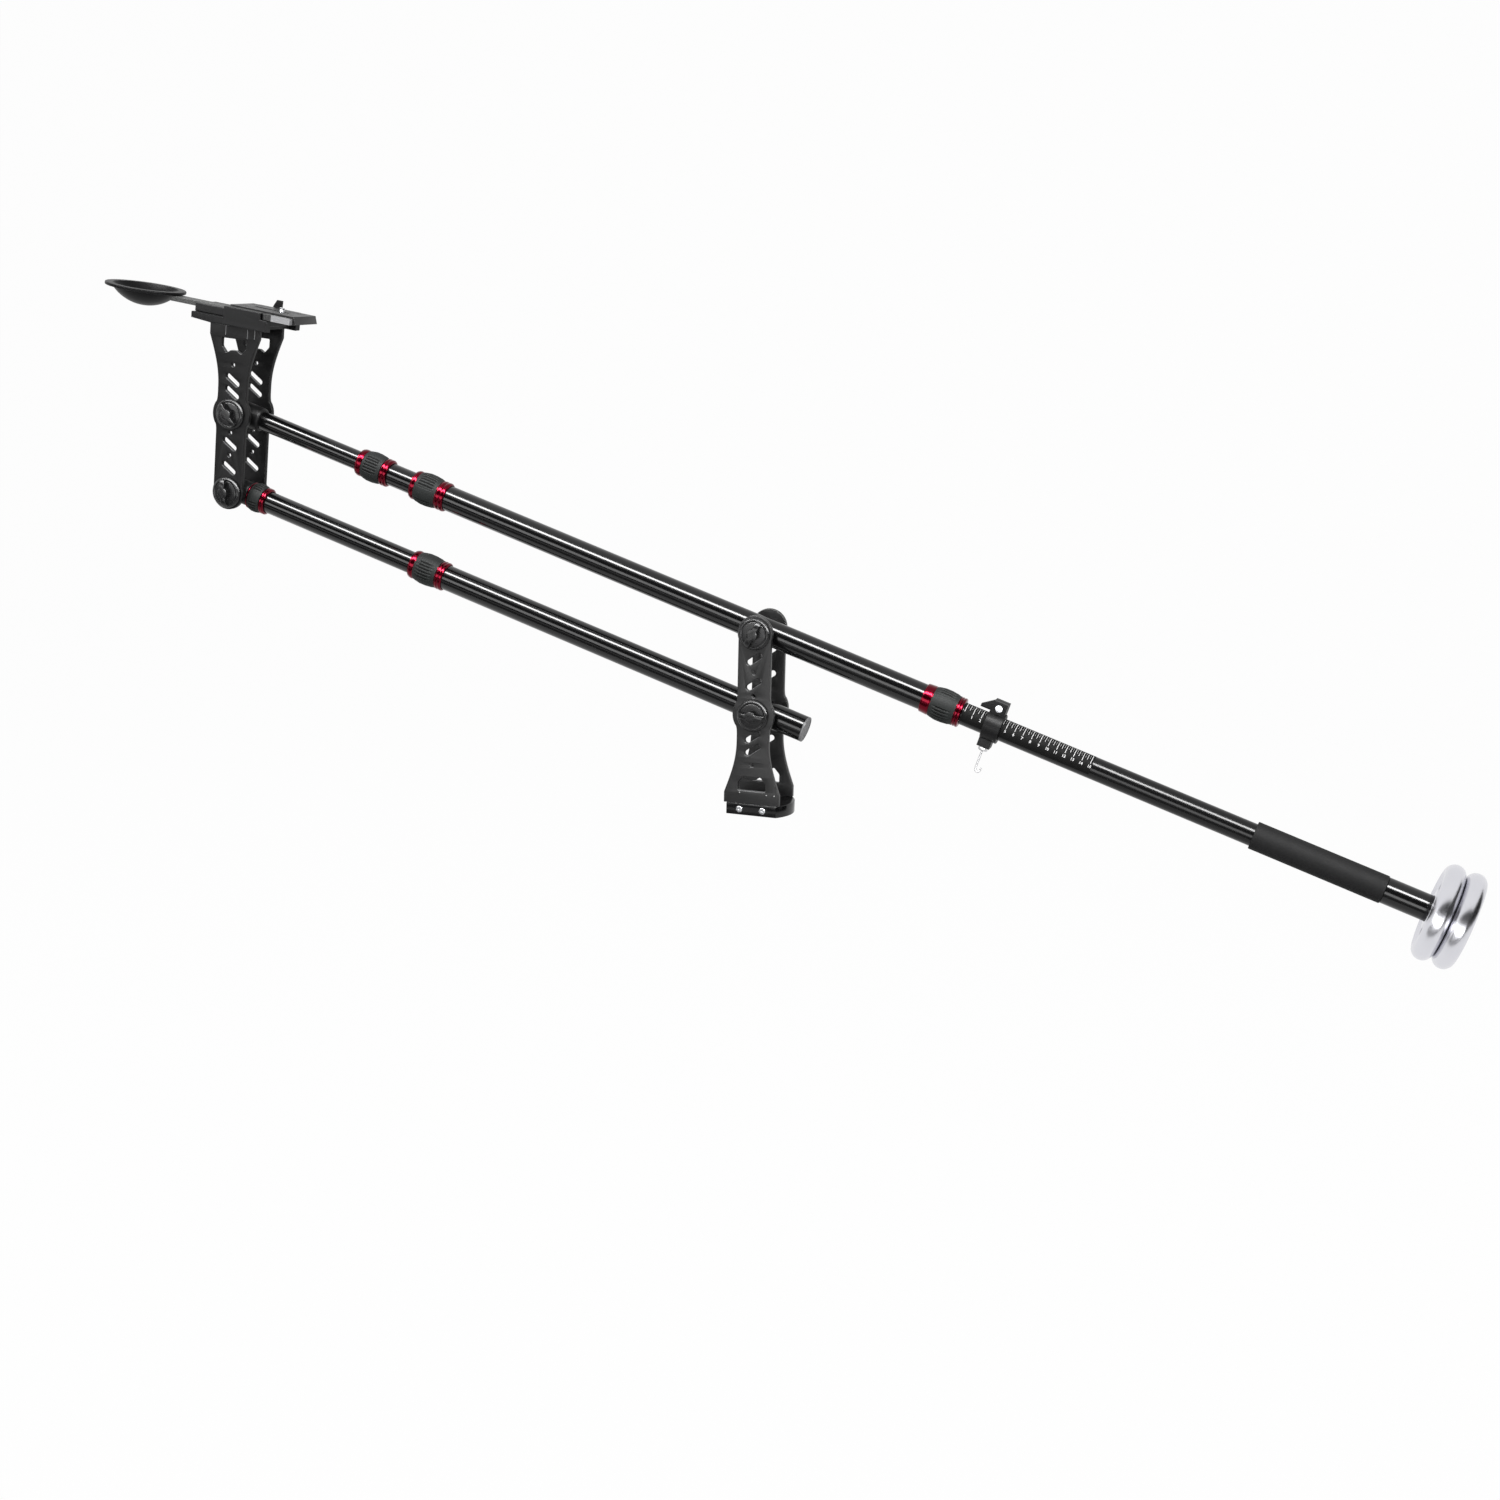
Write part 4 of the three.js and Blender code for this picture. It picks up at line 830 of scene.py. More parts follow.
def knobForm(turn):
    k = knob
    face = -plateFace - k["disc"]
    end = -plateFace - k["height"]
    outline = [(0, face), *((k["radius"] - inset, face + deep) for inset, deep in k["groove"])]
    outline += [(k["radius"] - k["rim"], face), (k["radius"], face + k["rim"]), (k["radius"], -plateFace),
                (0, -plateFace)]
    disc = turnedAcross(softened(outline, k["soft"], closed=False), sides=96)
    hub = turnedAcross(softPin(k["hub"], end, -plateFace - over, k["hubSoft"]))
    half = k["wing"] / 2
    top = end + k["wingDrop"]
    first, last = k["wingBends"]
    rise = curved((-half, top), (-half * first, end), (-half * last, end), steps=8)
    fall = [(-x, y) for x, y in reversed(rise)]
    outline = [(-half, face + over), (-half, top), *rise, *fall, (half, top), (half, face + over)]
    wing = slab(outline, [], -k["wingThickness"] / 2, k["wingThickness"] / 2, k["wingSoft"])
    bore = turnedAcross(pin(pivot["hole"], -plateFace - pivot["boreDepth"], -plateFace + over), sides=32)
    return worked(disc, added=[hub, spun(wing, turn, "Y")], cut=[bore])


def buildPivots():
    for side, index in ((-1, 1), (1, 2)):
        x = side * base["boltHalfSpan"]
        name = f"base_cross_bolt_{index}"
        piece(name + "_socket", buildCrossBolt(), "base", steel, nodes=[name],
              at=(x, 0, seamZ - base["boltDrop"]))
        name = f"head_cross_pin_{index}"
        half = faceHalf - gap
        cross = turnedAcross(softPin(crossBolt["radius"], -half, half, crossBolt["pinEdge"]), sides=32)
        piece(name + "_turned", cross, "head", steel, headSpace, [name],
              at=(x, 0, plate["reach"] + headJoint["boltDrop"]))
    low = gap - plateFace - pivot["boreDepth"]
    high = plateFace + pivot["nutHeight"]
    for one in pivots:
        name = one["name"]
        at = (0, 0, one["z"])
        rod = turnedAcross(softPin(pivot["bolt"], low, high + pivot["tail"], pivot["edge"]), sides=48)
        nut = spun(hexBody(pivot["nut"], plateFace, high), -math.pi / 2, "X")
        piece(name + "_bolt_turned", worked(rod, added=[nut]), one["body"], steel, one["space"],
              [name + "_bolt"], at=at)
        piece(name + "_knob_wing", knobForm(one["turn"]), name + "_knob", knobBlack,
              one["space"], [name + "_knob"], at=at, edge=knob["edge"])
    half = base["innerHalf"] - gap
    for name, body, space, x, z in (
        ("base_upper_sleeve", "upper_arm", armSpace, 0, 0),
        ("base_lower_sleeve", "lower_arm", lowerSpace, 0, 0),
        ("head_upper_sleeve", "upper_thin", armSpace, -upperArmLength, 0),
        ("head_lower_sleeve", "head", headSpace, 0, -pivotSpacing),
    ):
        form = turnedAcross(ring(pivot["hole"], pivot["sleeve"], -half, half, pivot["sleeveEdge"]))
        piece(name + "_turned", form, body, steel, space, [name], at=(x, 0, z))


buildPivots()
print("bolts, sleeves and knobs made")


# Tubes
tube = {"main": 15, "mid": 13.3, "thin": 11.5, "ruler": 12.75, "wall": 1.5, "edge": 0.35, "slit": 2,
        "slitLength": 20, "thinLength": 390, "rulerEnd": 832.8}
shoulder = {"upper": 28, "lower": 17, "lowerMid": 14}  # behind the head pivots; the middle tube behind that
upperShoulder = -upperArmLength + shoulder["upper"]
lowerShoulder = -lowerArmLength + shoulder["lower"]
headLockStart = lowerShoulder + 2 * gap
lowerMidFront = headLockStart + shoulder["lowerMid"]
tubes = [
    {"name": "upper_main_tube", "body": "upper_arm", "space": armSpace, "r": "main", "from": -440,
     "to": 222, "slits": (-440, 222), "pivot": True},
    {"name": "lower_main_tube", "body": "lower_arm", "space": lowerSpace, "r": "main", "from": -442,
     "to": 54.7, "slits": (-442,), "pivot": True},
    {"name": "upper_mid_tube", "body": "upper_mid", "space": armSpace, "r": "mid", "from": -512, "to": -112,
     "slits": (-512,)},
    {"name": "lower_mid_tube", "body": "lower_mid", "space": lowerSpace, "r": "mid", "from": lowerMidFront,
     "to": -116.3, "slits": (lowerMidFront,)},
    {"name": "upper_thin_tube", "body": "upper_thin", "space": armSpace, "r": "thin",
     "from": upperShoulder + gap, "to": upperShoulder + gap + tube["thinLength"], "slits": ()},
    {"name": "lower_thin_tube", "body": "lower_thin", "space": lowerSpace, "r": "thin",
     "from": lowerShoulder + gap, "to": lowerShoulder + gap + tube["thinLength"], "slits": ()},
    {"name": "ruler_tube", "body": "ruler", "space": armSpace, "r": "ruler", "from": 60,
     "to": tube["rulerEnd"], "slits": ()},
]
plug = {"end": 57.5, "collar": 2.5, "depth": 12, "soft": 0.5, "rim": 2.2, "dishFrom": 2.8, "dish": 0.6}


def buildTubes():
    for one in tubes:
        radius = tube[one["r"]]
        outline = ring(radius - tube["wall"], radius, one["from"], one["to"], tube["edge"])
        form = turnedAlong(outline, sides=128)
        cuts = []
        for end in one["slits"]:
            low = end - over if end == one["from"] else end - tube["slitLength"]
            high = low + tube["slitLength"] + over
            half = tube["slit"] / 2
            cuts.append(block(low, high, -half, half, -radius - over, radius + over))
        if one.get("pivot"):
            cuts.append(turnedAcross(pin(pivot["sleeve"] + gap, -radius - over, radius + over)))
        if cuts:
            form = worked(form, cut=cuts)
        finish = rulerBlack if one["r"] == "ruler" else tubeBlack
        piece(one["name"] + "_drawn", form, one["body"], finish, one["space"], [one["name"]])


def buildPlug():  # closes the lower arm's rear end
    p = plug
    seat = p["end"] - p["collar"]
    dish = p["end"] - p["dish"]
    spigot = tube["main"] - tube["wall"] - gap
    outline = softened([
        (0, seat - p["depth"]), (spigot, seat - p["depth"]), (spigot, seat), (tube["main"], seat),
        (tube["main"], p["end"]), (tube["main"] - p["rim"], p["end"]), (tube["main"] - p["dishFrom"], dish),
        (0, dish),
    ], p["soft"], closed=False)
    piece("lower_end_plug_turned", turnedAlong(outline), "lower_arm", plugGrey, lowerSpace,
          ["lower_end_plug"])


eye = {"radius": 14.6, "end": 14, "round": 4, "spigot": 25, "soft": 1.2, "play": 4, "edge": 0.3}


def buildEyes():
    spigot = tube["thin"] - tube["wall"] - gap
    corner = eye["round"]
    for name, body, space, at, seat, play in (
        ("upper_head_eye", "upper_thin", armSpace, -upperArmLength, upperShoulder, gap),
        ("lower_head_eye", "lower_thin", lowerSpace, -lowerArmLength, lowerShoulder, eye["play"]),
    ):
        front = at - eye["end"]
        outline = softened([
            (0, front), (eye["radius"] - corner, front), (eye["radius"], front + corner),
            (eye["radius"], seat - corner / 2), (eye["radius"] - corner / 2, seat),
            (spigot, seat), (spigot, seat + eye["spigot"]), (0, seat + eye["spigot"]),
        ], eye["soft"], closed=False)
        reach = eye["radius"] + over
        hole = moved(turnedAcross(pin(pivot["sleeve"] + play, -reach, reach)), x=at)
        form = worked(turnedAlong(outline), cut=[hole])
        piece(name + "_turned", form, body, headBlack, space, [name], edge=eye["edge"])


buildTubes()
buildPlug()
buildEyes()
print("tubes and eyes made")


# Twist locks: red collar with beads at both ends, ribbed barrel grip between
lockShape = {
    "hubWall": 1.5, "soft": 0.3, "frontFace": ((1.6, 0), (0.9, 0.2)),  # drops from the ring, and places
    "plainFront": ((0.5, 0.7), (0.35, 3)), "plainBack": ((0, 2.4), (0, 1.2), (0.7, 0.5)),
    "bead": ((0, 0.9), (0.18, 0.25), (0.35, 0)),  # its first half: shares of the width, and drops
    "nose": 0.6, "noseShare": 0.12, "frontRoom": 0.4, "backRoom": 0.1, "endRoom": 0.5, "gripSeat": 0.2,
    "ribs": 30, "ribDepth": 0.7, "ribSteepness": 1.6, "ribShift": 0.16, "patches": 3, "patchShare": 0.66,
    "patchEnds": (0.12, 0.86), "endFade": 0.06, "sideFade": 0.03, "barrelSteps": 22,
    "barrel": ((0, 0.9), (0.12, 0.95), (0.32, 1), (0.55, 1), (0.8, 0.96), (1, 0.88)),
}
locks = [
    {"name": "upper_front_lock", "space": armSpace, "start": -534.2, "first": 7.9, "grip": 24.7, "last": 9.1,
     "r": 18.1, "ring": 16.6, "step": -512.3, "front": "thin", "back": "mid", "seed": 0.4},
    {"name": "upper_rear_lock", "space": armSpace, "start": -459.5, "first": 6.2, "grip": 28.3, "last": 11.0,
     "r": 19.3, "ring": 17.6, "step": -440.3, "front": "mid", "back": "main", "seed": 1.3},
    {"name": "tail_lock", "space": armSpace, "start": 201.3, "first": 11.1, "grip": 29.1, "last": 7.3,
     "r": 18.9, "ring": 17.2, "step": 222.3, "front": "main", "back": "ruler", "seed": 2.2, "plain": True},
    {"name": "lower_rear_lock", "space": lowerSpace, "start": -462.2, "first": 7.2, "grip": 29.3, "last": 9.1,
     "r": 18.9, "ring": 17.4, "step": -442.3, "front": "mid", "back": "main", "seed": 0.1},
    {"name": "lower_front_lock", "space": lowerSpace, "start": headLockStart, "first": 2.4, "grip": 15.6,
     "last": 6.7, "r": 18.0, "ring": 16.4, "step": lowerMidFront - gap, "front": "thin", "back": "mid",
     "seed": 1.9},
]


def beads(radius, low, high, count):  # rounded beads with grooves between
    rise = lockShape["bead"]
    bead = [*rise, *((1 - share, drop) for share, drop in reversed(rise))]
    width = (high - low) / count
    return [(radius - drop, low + width * (k + share)) for k in range(count) for share, drop in bead]


def barrelShare(at):  # radius of a grip as a share, smooth between the measured places
    shares = lockShape["barrel"]
    for (lowAt, low), (highAt, high) in zip(shares, shares[1:]):
        if at <= highAt:
            blend = (at - lowAt) / (highAt - lowAt)
            return low + (high - low) * (blend * blend * (3 - 2 * blend) + blend) / 2


def limited(value):
    return min(1.0, max(0.0, value))


def buildLock(one):
    s = lockShape
    start = one["start"]
    gripStart = start + one["first"]
    gripEnd = gripStart + one["grip"]
    end = gripEnd + one["last"]
    front = tube[one["front"]] + gap
    back = tube[one["back"]] + gap
    hub = max(front, back) + s["hubWall"]
    outline = [(front, start + s["soft"]), (front + s["soft"], start)]
    outline += [(one["ring"] - drop, start + along) for drop, along in s["frontFace"]]
    if one.get("plain"):  # smooth collar that widens towards the grip
        outline += [(one["ring"] - drop, start + along) for drop, along in s["plainFront"]]
        outline += [(one["ring"] - drop, gripStart - along) for drop, along in s["plainBack"]]
    else:
        nose = min(s["nose"], one["first"] * s["noseShare"])
        outline += beads(one["ring"], start + nose, gripStart - gap - s["frontRoom"], 1)
    outline += [(hub, gripStart - gap), (hub, gripEnd + gap)]
    outline += beads(one["ring"], gripEnd + gap + s["backRoom"], end - s["endRoom"], 2)
    outline += [(back + s["soft"], end), (back, end - s["soft"]), (back, one["step"]), (front, one["step"])]
    piece(one["name"] + "_collar_turned", turnedAlong(outline), one["name"], redMetal,
          one["space"], [one["name"] + "_collar"], sharp=50)

    def groove(angle, along):  # 1 at the bottom of a groove, 0 on the ribs and outside the patches
        share = (along - gripStart) / one["grip"]
        turn = (angle / (2 * math.pi) + one["seed"]) * s["patches"] % 1
        low, high = s["patchEnds"]
        wave = limited(math.cos(angle * s["ribs"]) * s["ribSteepness"] + s["ribShift"])
        ends = limited(min(share - low, high - share) / s["endFade"])
        sides = limited(min(turn, s["patchShare"] - turn) / s["sideFade"])
        return wave * ends * sides

    def ribbed(radius, angle, along):
        return radius - s["ribDepth"] * groove(angle, along) if radius > hub + 1 else radius

    # faces at the bottom of a groove, which get the darker finish as painted shade
    def inGrooveShade(centre, normal):
        x, y, z = centre
        return math.hypot(y, z) > hub + 1 and groove(math.atan2(z, -y), x) > 0.5

    shares = [k / s["barrelSteps"] for k in range(s["barrelSteps"] + 1)]
    profile = [(hub + gap, gripStart + s["gripSeat"])]
    profile += [(one["r"] * barrelShare(share), gripStart + one["grip"] * share) for share in shares]
    profile.append((hub + gap, gripEnd - s["gripSeat"]))
    grip = turnedAlong(profile, sides=s["ribs"] * 10, ripple=ribbed)
    made = piece(one["name"] + "_grip_ribbed", grip, one["name"], ribbedRubber, one["space"],
                 [one["name"] + "_grip"], sharp=60)
    # the groove bottoms are painted darker: painted shade
    partly(made, grooveShadeBlack, inGrooveShade)


for lock in locks:
    buildLock(lock)
print("twist locks made")


# Rear bar: foam, weight sleeve, weights, cap and the printed scale
rear = {"foamFrom": 591.6, "foamLength": 148, "foam": 2.9, "foamSoft": 1.0, "running": 0.2, "sleeve": 14.7,
        "sleeveEdge": 0.4}
weight = {"radius": 54.5, "thickness": 23, "from": 788, "boreGap": 0.5, "hub": 22, "hubStep": 1, "rim": 41,
          "recess": 4.5, "soft": 1.4, "castRoom": 1, "rimSteps": 32}
cap = {"flange": 20, "height": 3, "spigot": 18, "dishFrom": 5, "dishSlope": 1, "dish": 0.7, "soft": 0.8}
scaleMarks = {
    "zero": 251.5, "pitch": 10, "count": 15, "top": 88, "long": 29, "middle": 44, "short": 53, "steps": 8,
    "lines": (0.7, 0.2, 0.5, 0.2), "proud": 0.06, "lift": 0.01, "digitFrom": 8, "digitHeight": 3.2,
    "digitShare": 0.72, "digitCuts": 6, "digitSteps": 3, "bold": 0.14,
}
label = {"proud": 0.03, "from": 249.5, "to": 404, "low": -28, "high": 104, "steps": 24}


def weightForm():
    w = weight
    thick = w["thickness"] - gap
    middle = thick / 2
    rimCentre = w["radius"] - middle
    bore = rear["sleeve"] + w["boreGap"]
    slope = w["recess"] / 2
    face = [(bore, w["hubStep"]), (w["hub"], w["hubStep"]), (w["hub"] + slope, w["recess"]),
            (w["rim"] - slope, w["recess"])]
    back = [(radius, thick - along) for radius, along in reversed(face)]
    outline = softened(face, w["soft"], closed=False)
    outline += arc((rimCentre, middle), middle, -math.pi / 2, math.pi / 2, steps=w["rimSteps"])
    outline += softened(back, w["soft"], closed=False)
    return turnedAlong(outline, sides=192)


def castFace(centre, normal):  # the unpolished face between hub and rim
    reach = math.hypot(centre.y, centre.z)
    return weight["hub"] + weight["castRoom"] < reach < weight["rim"] - weight["castRoom"]


def buildRear():
    r = rear
    inner = tube["ruler"] + r["running"]
    foamEnd = r["foamFrom"] + r["foamLength"]
    barEnd = tube["rulerEnd"]
    foam = turnedAlong(ring(inner, tube["ruler"] + r["foam"], r["foamFrom"], foamEnd, r["foamSoft"]))
    piece("foam_grip_sleeve", foam, "ruler", foamBlack, armSpace, ["foam_grip"])
    sleeve = turnedAlong(ring(inner, r["sleeve"], foamEnd + gap, barEnd, r["sleeveEdge"]), sides=128)
    piece("weight_sleeve_drawn", sleeve, "ruler", tubeBlack, armSpace, ["weight_sleeve"])
    place = weight["from"]
    for name in ("weight_inner", "weight_outer"):
        made = piece(name + "_cast", weightForm(), name, chrome, armSpace, [name], at=(place, 0, 0))
        partly(made, castChrome, castFace)
        place += weight["thickness"]
    seat = barEnd + gap
    end = seat + cap["height"]
    dish = end - cap["dish"]
    spigot = tube["ruler"] - tube["wall"] - gap
    dishRadius = cap["flange"] - cap["dishFrom"]
    outline = softened([
        (0, seat - cap["spigot"]), (spigot, seat - cap["spigot"]), (spigot, seat), (cap["flange"], seat),
        (cap["flange"], end), (dishRadius, end), (dishRadius - cap["dishSlope"], dish), (0, dish),
    ], cap["soft"], closed=False)
    piece("tail_cap_moulded", turnedAlong(outline), "tail_cap", knobBlack, armSpace,
          ["tail_cap"])


def onBar(form):  # bends a flat form over the rear tube: x stays along the bar, y goes upwards round it
    radius = tube["ruler"]
    for vert in form.verts:
        angle = vert.co.y / radius
        reach = radius + scaleMarks["lift"] + vert.co.z
        vert.co = Vector((vert.co.x, -reach * math.cos(angle), reach * math.sin(angle)))
    return form


def barStrip(start, end, low, high, proud, steps):  # low and high: degrees above the front of the bar
    rings = []
    for k in range(steps + 1):
        y = tube["ruler"] * degree * (low + (high - low) * k / steps)
        rings.append([(start, y, 0), (end, y, 0), (end, y, proud), (start, y, proud)])
    return onBar(lofted(rings))


def digits(words, along):
    s = scaleMarks
    curve = bpy.data.curves.new("digits", "FONT")
    curve.body = words
    curve.size = s["digitHeight"] / s["digitShare"]
    curve.align_x = "CENTER"
    curve.extrude = s["proud"] / 2
    curve.offset = s["bold"]
    curve.resolution_u = s["digitSteps"]
    low = tube["ruler"] * degree * s["digitFrom"]
    form = moved(fromCurve(curve, mergeDistance), x=along, y=low, z=s["proud"] / 2)
    for k in range(1, s["digitCuts"]):  # level cuts, so that the digits follow the bar
        split(form, (0, low + s["digitHeight"] * k / s["digitCuts"], 0), (0, 1, 0))
    return onBar(form)


def buildScale():
    s = scaleMarks
    parts = []
    for k in range(s["count"] * 4 + 1):
        along = s["zero"] + s["pitch"] * k / 4
        low = s["long"] if k % 4 == 0 else s["middle"] if k % 2 == 0 else s["short"]
        half = s["lines"][k % 4] / 2
        parts.append(barStrip(along - half, along + half, low, s["top"], s["proud"], s["steps"]))
        if k % 4 == 0 and k:
            parts.append(digits(str(k // 4), along))
    piece("scale_marks", joined(parts), "ruler", printWhite, armSpace, sharp=30)
    band = barStrip(label["from"], label["to"], label["low"], label["high"], label["proud"], label["steps"])
    piece("scale_label", band, "ruler", labelMatt, armSpace, sharp=60)


buildRear()
buildScale()
print("rear bar, scale and weights made")


# Scale collar, its screw and hook
collar = {
    "from": 276.4, "length": 19.4, "wall": 4.6, "soft": 0.8, "edge": 0.6, "earHalf": 7.5, "earLength": 16.5,
    "earHeight": 12.5, "slit": 1.6, "fin": 14, "finThickness": 5, "finDrop": 0.6, "lug": 15, "lugHalf": 7,
    "lugHeight": 8, "lugShift": 2.2, "screw": 2.4, "screwHead": 4.2, "screwHeadHeight": 3.4, "screwHeight": 6,
    "socket": 1.9, "socketDepth": 2, "screwEdge": 0.3, "headEdge": 0.5,
}
hook = {"disc": 5.6, "discHeight": 4.5, "discSoft": 1.0, "wire": 1.2, "stem": 2, "stemLength": 7,
        "stemSoft": 0.3, "drop": 20, "bend": 3}
collarX = collar["from"] + collar["length"] / 2
collarOuter = tube["ruler"] + collar["wall"]
earTop = collarOuter + collar["earHeight"]
lugBottom = -collarOuter - collar["lugHeight"]
collarScrewZ = collarOuter + collar["screwHeight"]


def buildCollar():
    c = collar
    half = c["length"] / 2
    earEnd = c["earLength"] / 2
    outline = [(0, -half), (collarOuter, -half), (collarOuter, half), (0, half)]
    body = turnedAlong(softened(outline, c["soft"], closed=False))
    finFrom = over - earEnd
    tip = -earEnd - c["fin"]
    low = collarOuter - c["wall"] / 2
    outline = [(finFrom, earTop - c["finDrop"]), (tip, collarOuter + 1), (tip, low), (finFrom, low)]
    fin = standing(slab(outline, [], -c["earHalf"], c["finThickness"] - c["earHalf"], 0.5))
    ear = block(-earEnd, earEnd, -c["earHalf"], c["earHalf"], tube["ruler"], earTop)
    lug = block(-c["lug"] / 2 - c["lugShift"], c["lug"] / 2 - c["lugShift"], -c["lugHalf"], c["lugHalf"],
                lugBottom, -tube["ruler"])
    reach = half + c["fin"] + over
    stem = pin(hook["stem"] + gap, lugBottom - over, lugBottom + hook["stemLength"] + gap)
    form = worked(body, added=[ear, lug, fin], cut=[
        turnedAlong(pin(tube["ruler"] + rear["running"], -reach, reach), sides=128),
        block(-half - over, half + over, -c["slit"] / 2, c["slit"] / 2, tube["ruler"] - over, earTop + over),
        boltHole(c["screw"] + gap, c["earHalf"] * 2, 0, collarScrewZ),
        moved(turnedUp(stem, sides=32), x=-c["lugShift"]),
    ])
    piece("scale_collar_split", form, "scale_collar", headBlack, armSpace, ["scale_collar"],
          edge=c["edge"], at=(collarX, 0, 0))


def buildCollarScrew():
    c = collar
    seat = -c["earHalf"] - gap
    face = seat - c["screwHeadHeight"]
    shank = turnedAcross(softPin(c["screw"], seat - over, c["earHalf"] + 1, c["screwEdge"]), sides=32)
    cap = turnedAcross(softPin(c["screwHead"], face, seat, c["headEdge"]), sides=48)
    socket = hexSocket(c["socket"], c["socketDepth"] + over, face - over)
    piece("collar_screw_socket", worked(shank, added=[cap], cut=[socket]), "collar_screw", steel,
          armSpace, ["collar_screw"], at=(collarX, 0, collarScrewZ))


def wireForm(path, radius, sides=16):  # round wire along points in the xz plane
    points = [Vector(point) for point in path]
    side = Vector((0, 1, 0))
    rings = []
    for k, point in enumerate(points):
        along = (points[min(k + 1, len(points) - 1)] - points[max(k - 1, 0)]).normalized()
        up = along.cross(side)
        rings.append([point + side * radius * math.cos(a) + up * radius * math.sin(a)
                      for a in (2 * math.pi * n / sides for n in range(sides))])
    return lofted(rings)


def buildHook():
    h = hook
    top = lugBottom - gap
    disc = top - h["discHeight"]
    low = disc - h["drop"]
    foot = low - h["bend"] * 2
    path = [(0, disc + over), (0, low)]
    path += curved((0, low), (0, foot), (h["bend"], foot), steps=8)
    path += curved((h["bend"], foot), (h["bend"] * 2, foot), (h["bend"] * 2, low), steps=8)
    wire = wireForm([(x, 0, z) for x, z in path], h["wire"])
    stem = turnedUp(softPin(h["stem"], top - over, top + h["stemLength"], h["stemSoft"]), sides=32)
    form = worked(turnedUp(softPin(h["disc"], disc, top, h["discSoft"]), sides=64), added=[stem, wire])
    piece("collar_hook_wire", form, "collar_hook", silver, armSpace, ["collar_hook"],
          at=(collarX - collar["lugShift"], 0, 0))


buildCollar()
buildCollarScrew()
buildHook()
print("scale collar made")


# Head block: a wedge on the plates, whose top face is level zero of the platform
head = {"height": 7.2, "edge": 7.4, "front": -59.5, "back": 40, "strip": 3.6, "soft": 0.4}
platformZ = plate["reach"] + head["height"]
platformSpace = frameAt(headSpace @ Vector((0, 0, platformZ * mm)), joints["plate_slide"]["axis"])
platformLean = headSpace.col[0].xyz.angle(platformSpace.col[0].xyz)


def onPlatform(x, z):  # a platform place as x and z of the head
    return (x * math.cos(platformLean) + z * math.sin(platformLean),
            platformZ - x * math.sin(platformLean) + z * math.cos(platformLean))


def buildHeadBlock():
    seam = plate["reach"]
    half = base["tongueHalf"] + gap
    inner = base["innerHalf"] - gap
    outer = base["innerHalf"] + base["tongue"] + gap
    deep = seam + headJoint["tongueLength"] + gap
    cuts = [block(-half, half, inner, outer, seam - over, deep),
            block(-half, half, -outer, -inner, seam - over, deep)]
    for x in (-base["boltHalfSpan"], base["boltHalfSpan"]):
        cuts.append(boltHole(crossBolt["radius"] + gap, faceHalf + over, x, seam + headJoint["boltDrop"]))
    backTop = onPlatform(head["back"], 0)
    outline = [(-plate["flare"], seam), (backTop[0], seam), backTop, onPlatform(head["front"], 0),
               onPlatform(head["front"], -head["edge"])]
    form = worked(standing(slab(outline, [], -faceHalf, faceHalf, head["soft"])), cut=cuts)
    x, z = onPlatform(0, head["strip"] - head["edge"])
    edge = Vector((x, 0, z))
    up = Vector((math.sin(platformLean), 0, math.cos(platformLean)))

    def bare(centre, normal):  # metal shows along the foot of the overhang
        return centre.x < -plate["flare"] and (centre - edge).dot(up) < 0

    made = piece("head_block_milled", split(form, edge, up), "head", headBlack, headSpace,
                 ["head_block"])
    partly(made, silver, bare)


buildHeadBlock()


# Clamp, sliding plate, screw, lever and catch, in the platform's frame
clamp = {"front": -10, "back": 48, "half": 40, "floor": 9.9, "height": 14.9, "skirt": 6.5, "channel": 26.4,
         "edge": 0.7}
slide = {
    "back": 75, "height": 6.2, "edge": 0.45, "lip": 3, "lipThickness": 3, "lipSoft": 0.3, "slant": 3,
    "slotFrom": 8, "slotLength": 46, "slotHalf": 3.6, "recessHalf": 7.6, "recess": 2.6,
    "grooves": (10, 13, 16), "grooveHalf": 0.45, "grooveDepth": 0.5, "grooveFront": 6, "grooveBack": 7,
}
screw = {"r": 3.1, "head": 6.8, "headHeight": 1.8, "headEdge": 0.3, "proud": 4.8, "x": 44, "pitch": 1.27,
         "threadDepth": 0.45, "threadFrom": 1.6, "threadRoom": 2.4, "tip": 0.6}
lever = {
    "inset": 4, "reach": 29, "hub": 4.4, "hubSoft": 0.6, "thickness": 6, "height": 7.4, "play": 0.6,
    "seat": 7.4, "pin": 1.8, "pinDepth": 2.6, "dark": 8, "edge": 0.5, "grooves": (1.8, 3.3, 4.8),
    "grooveHalf": 0.2, "grooveDepth": 0.25, "grooveRoom": 2,
}
catch = {"x": 19, "r": 4.8, "base": 2, "soft": 0.5, "fin": 3.6, "finHeight": 8, "reach": 12, "slant": 5,
         "edge": 0.3}
clampTop = gap + clamp["height"]
channelFloor = gap + clamp["floor"]
leverX = clamp["back"] - lever["inset"]
leverY = -clamp["half"] + lever["hub"] + lever["play"]
leverLow = gap + lever["seat"]
catchY = (clamp["channel"] + clamp["half"]) / 2


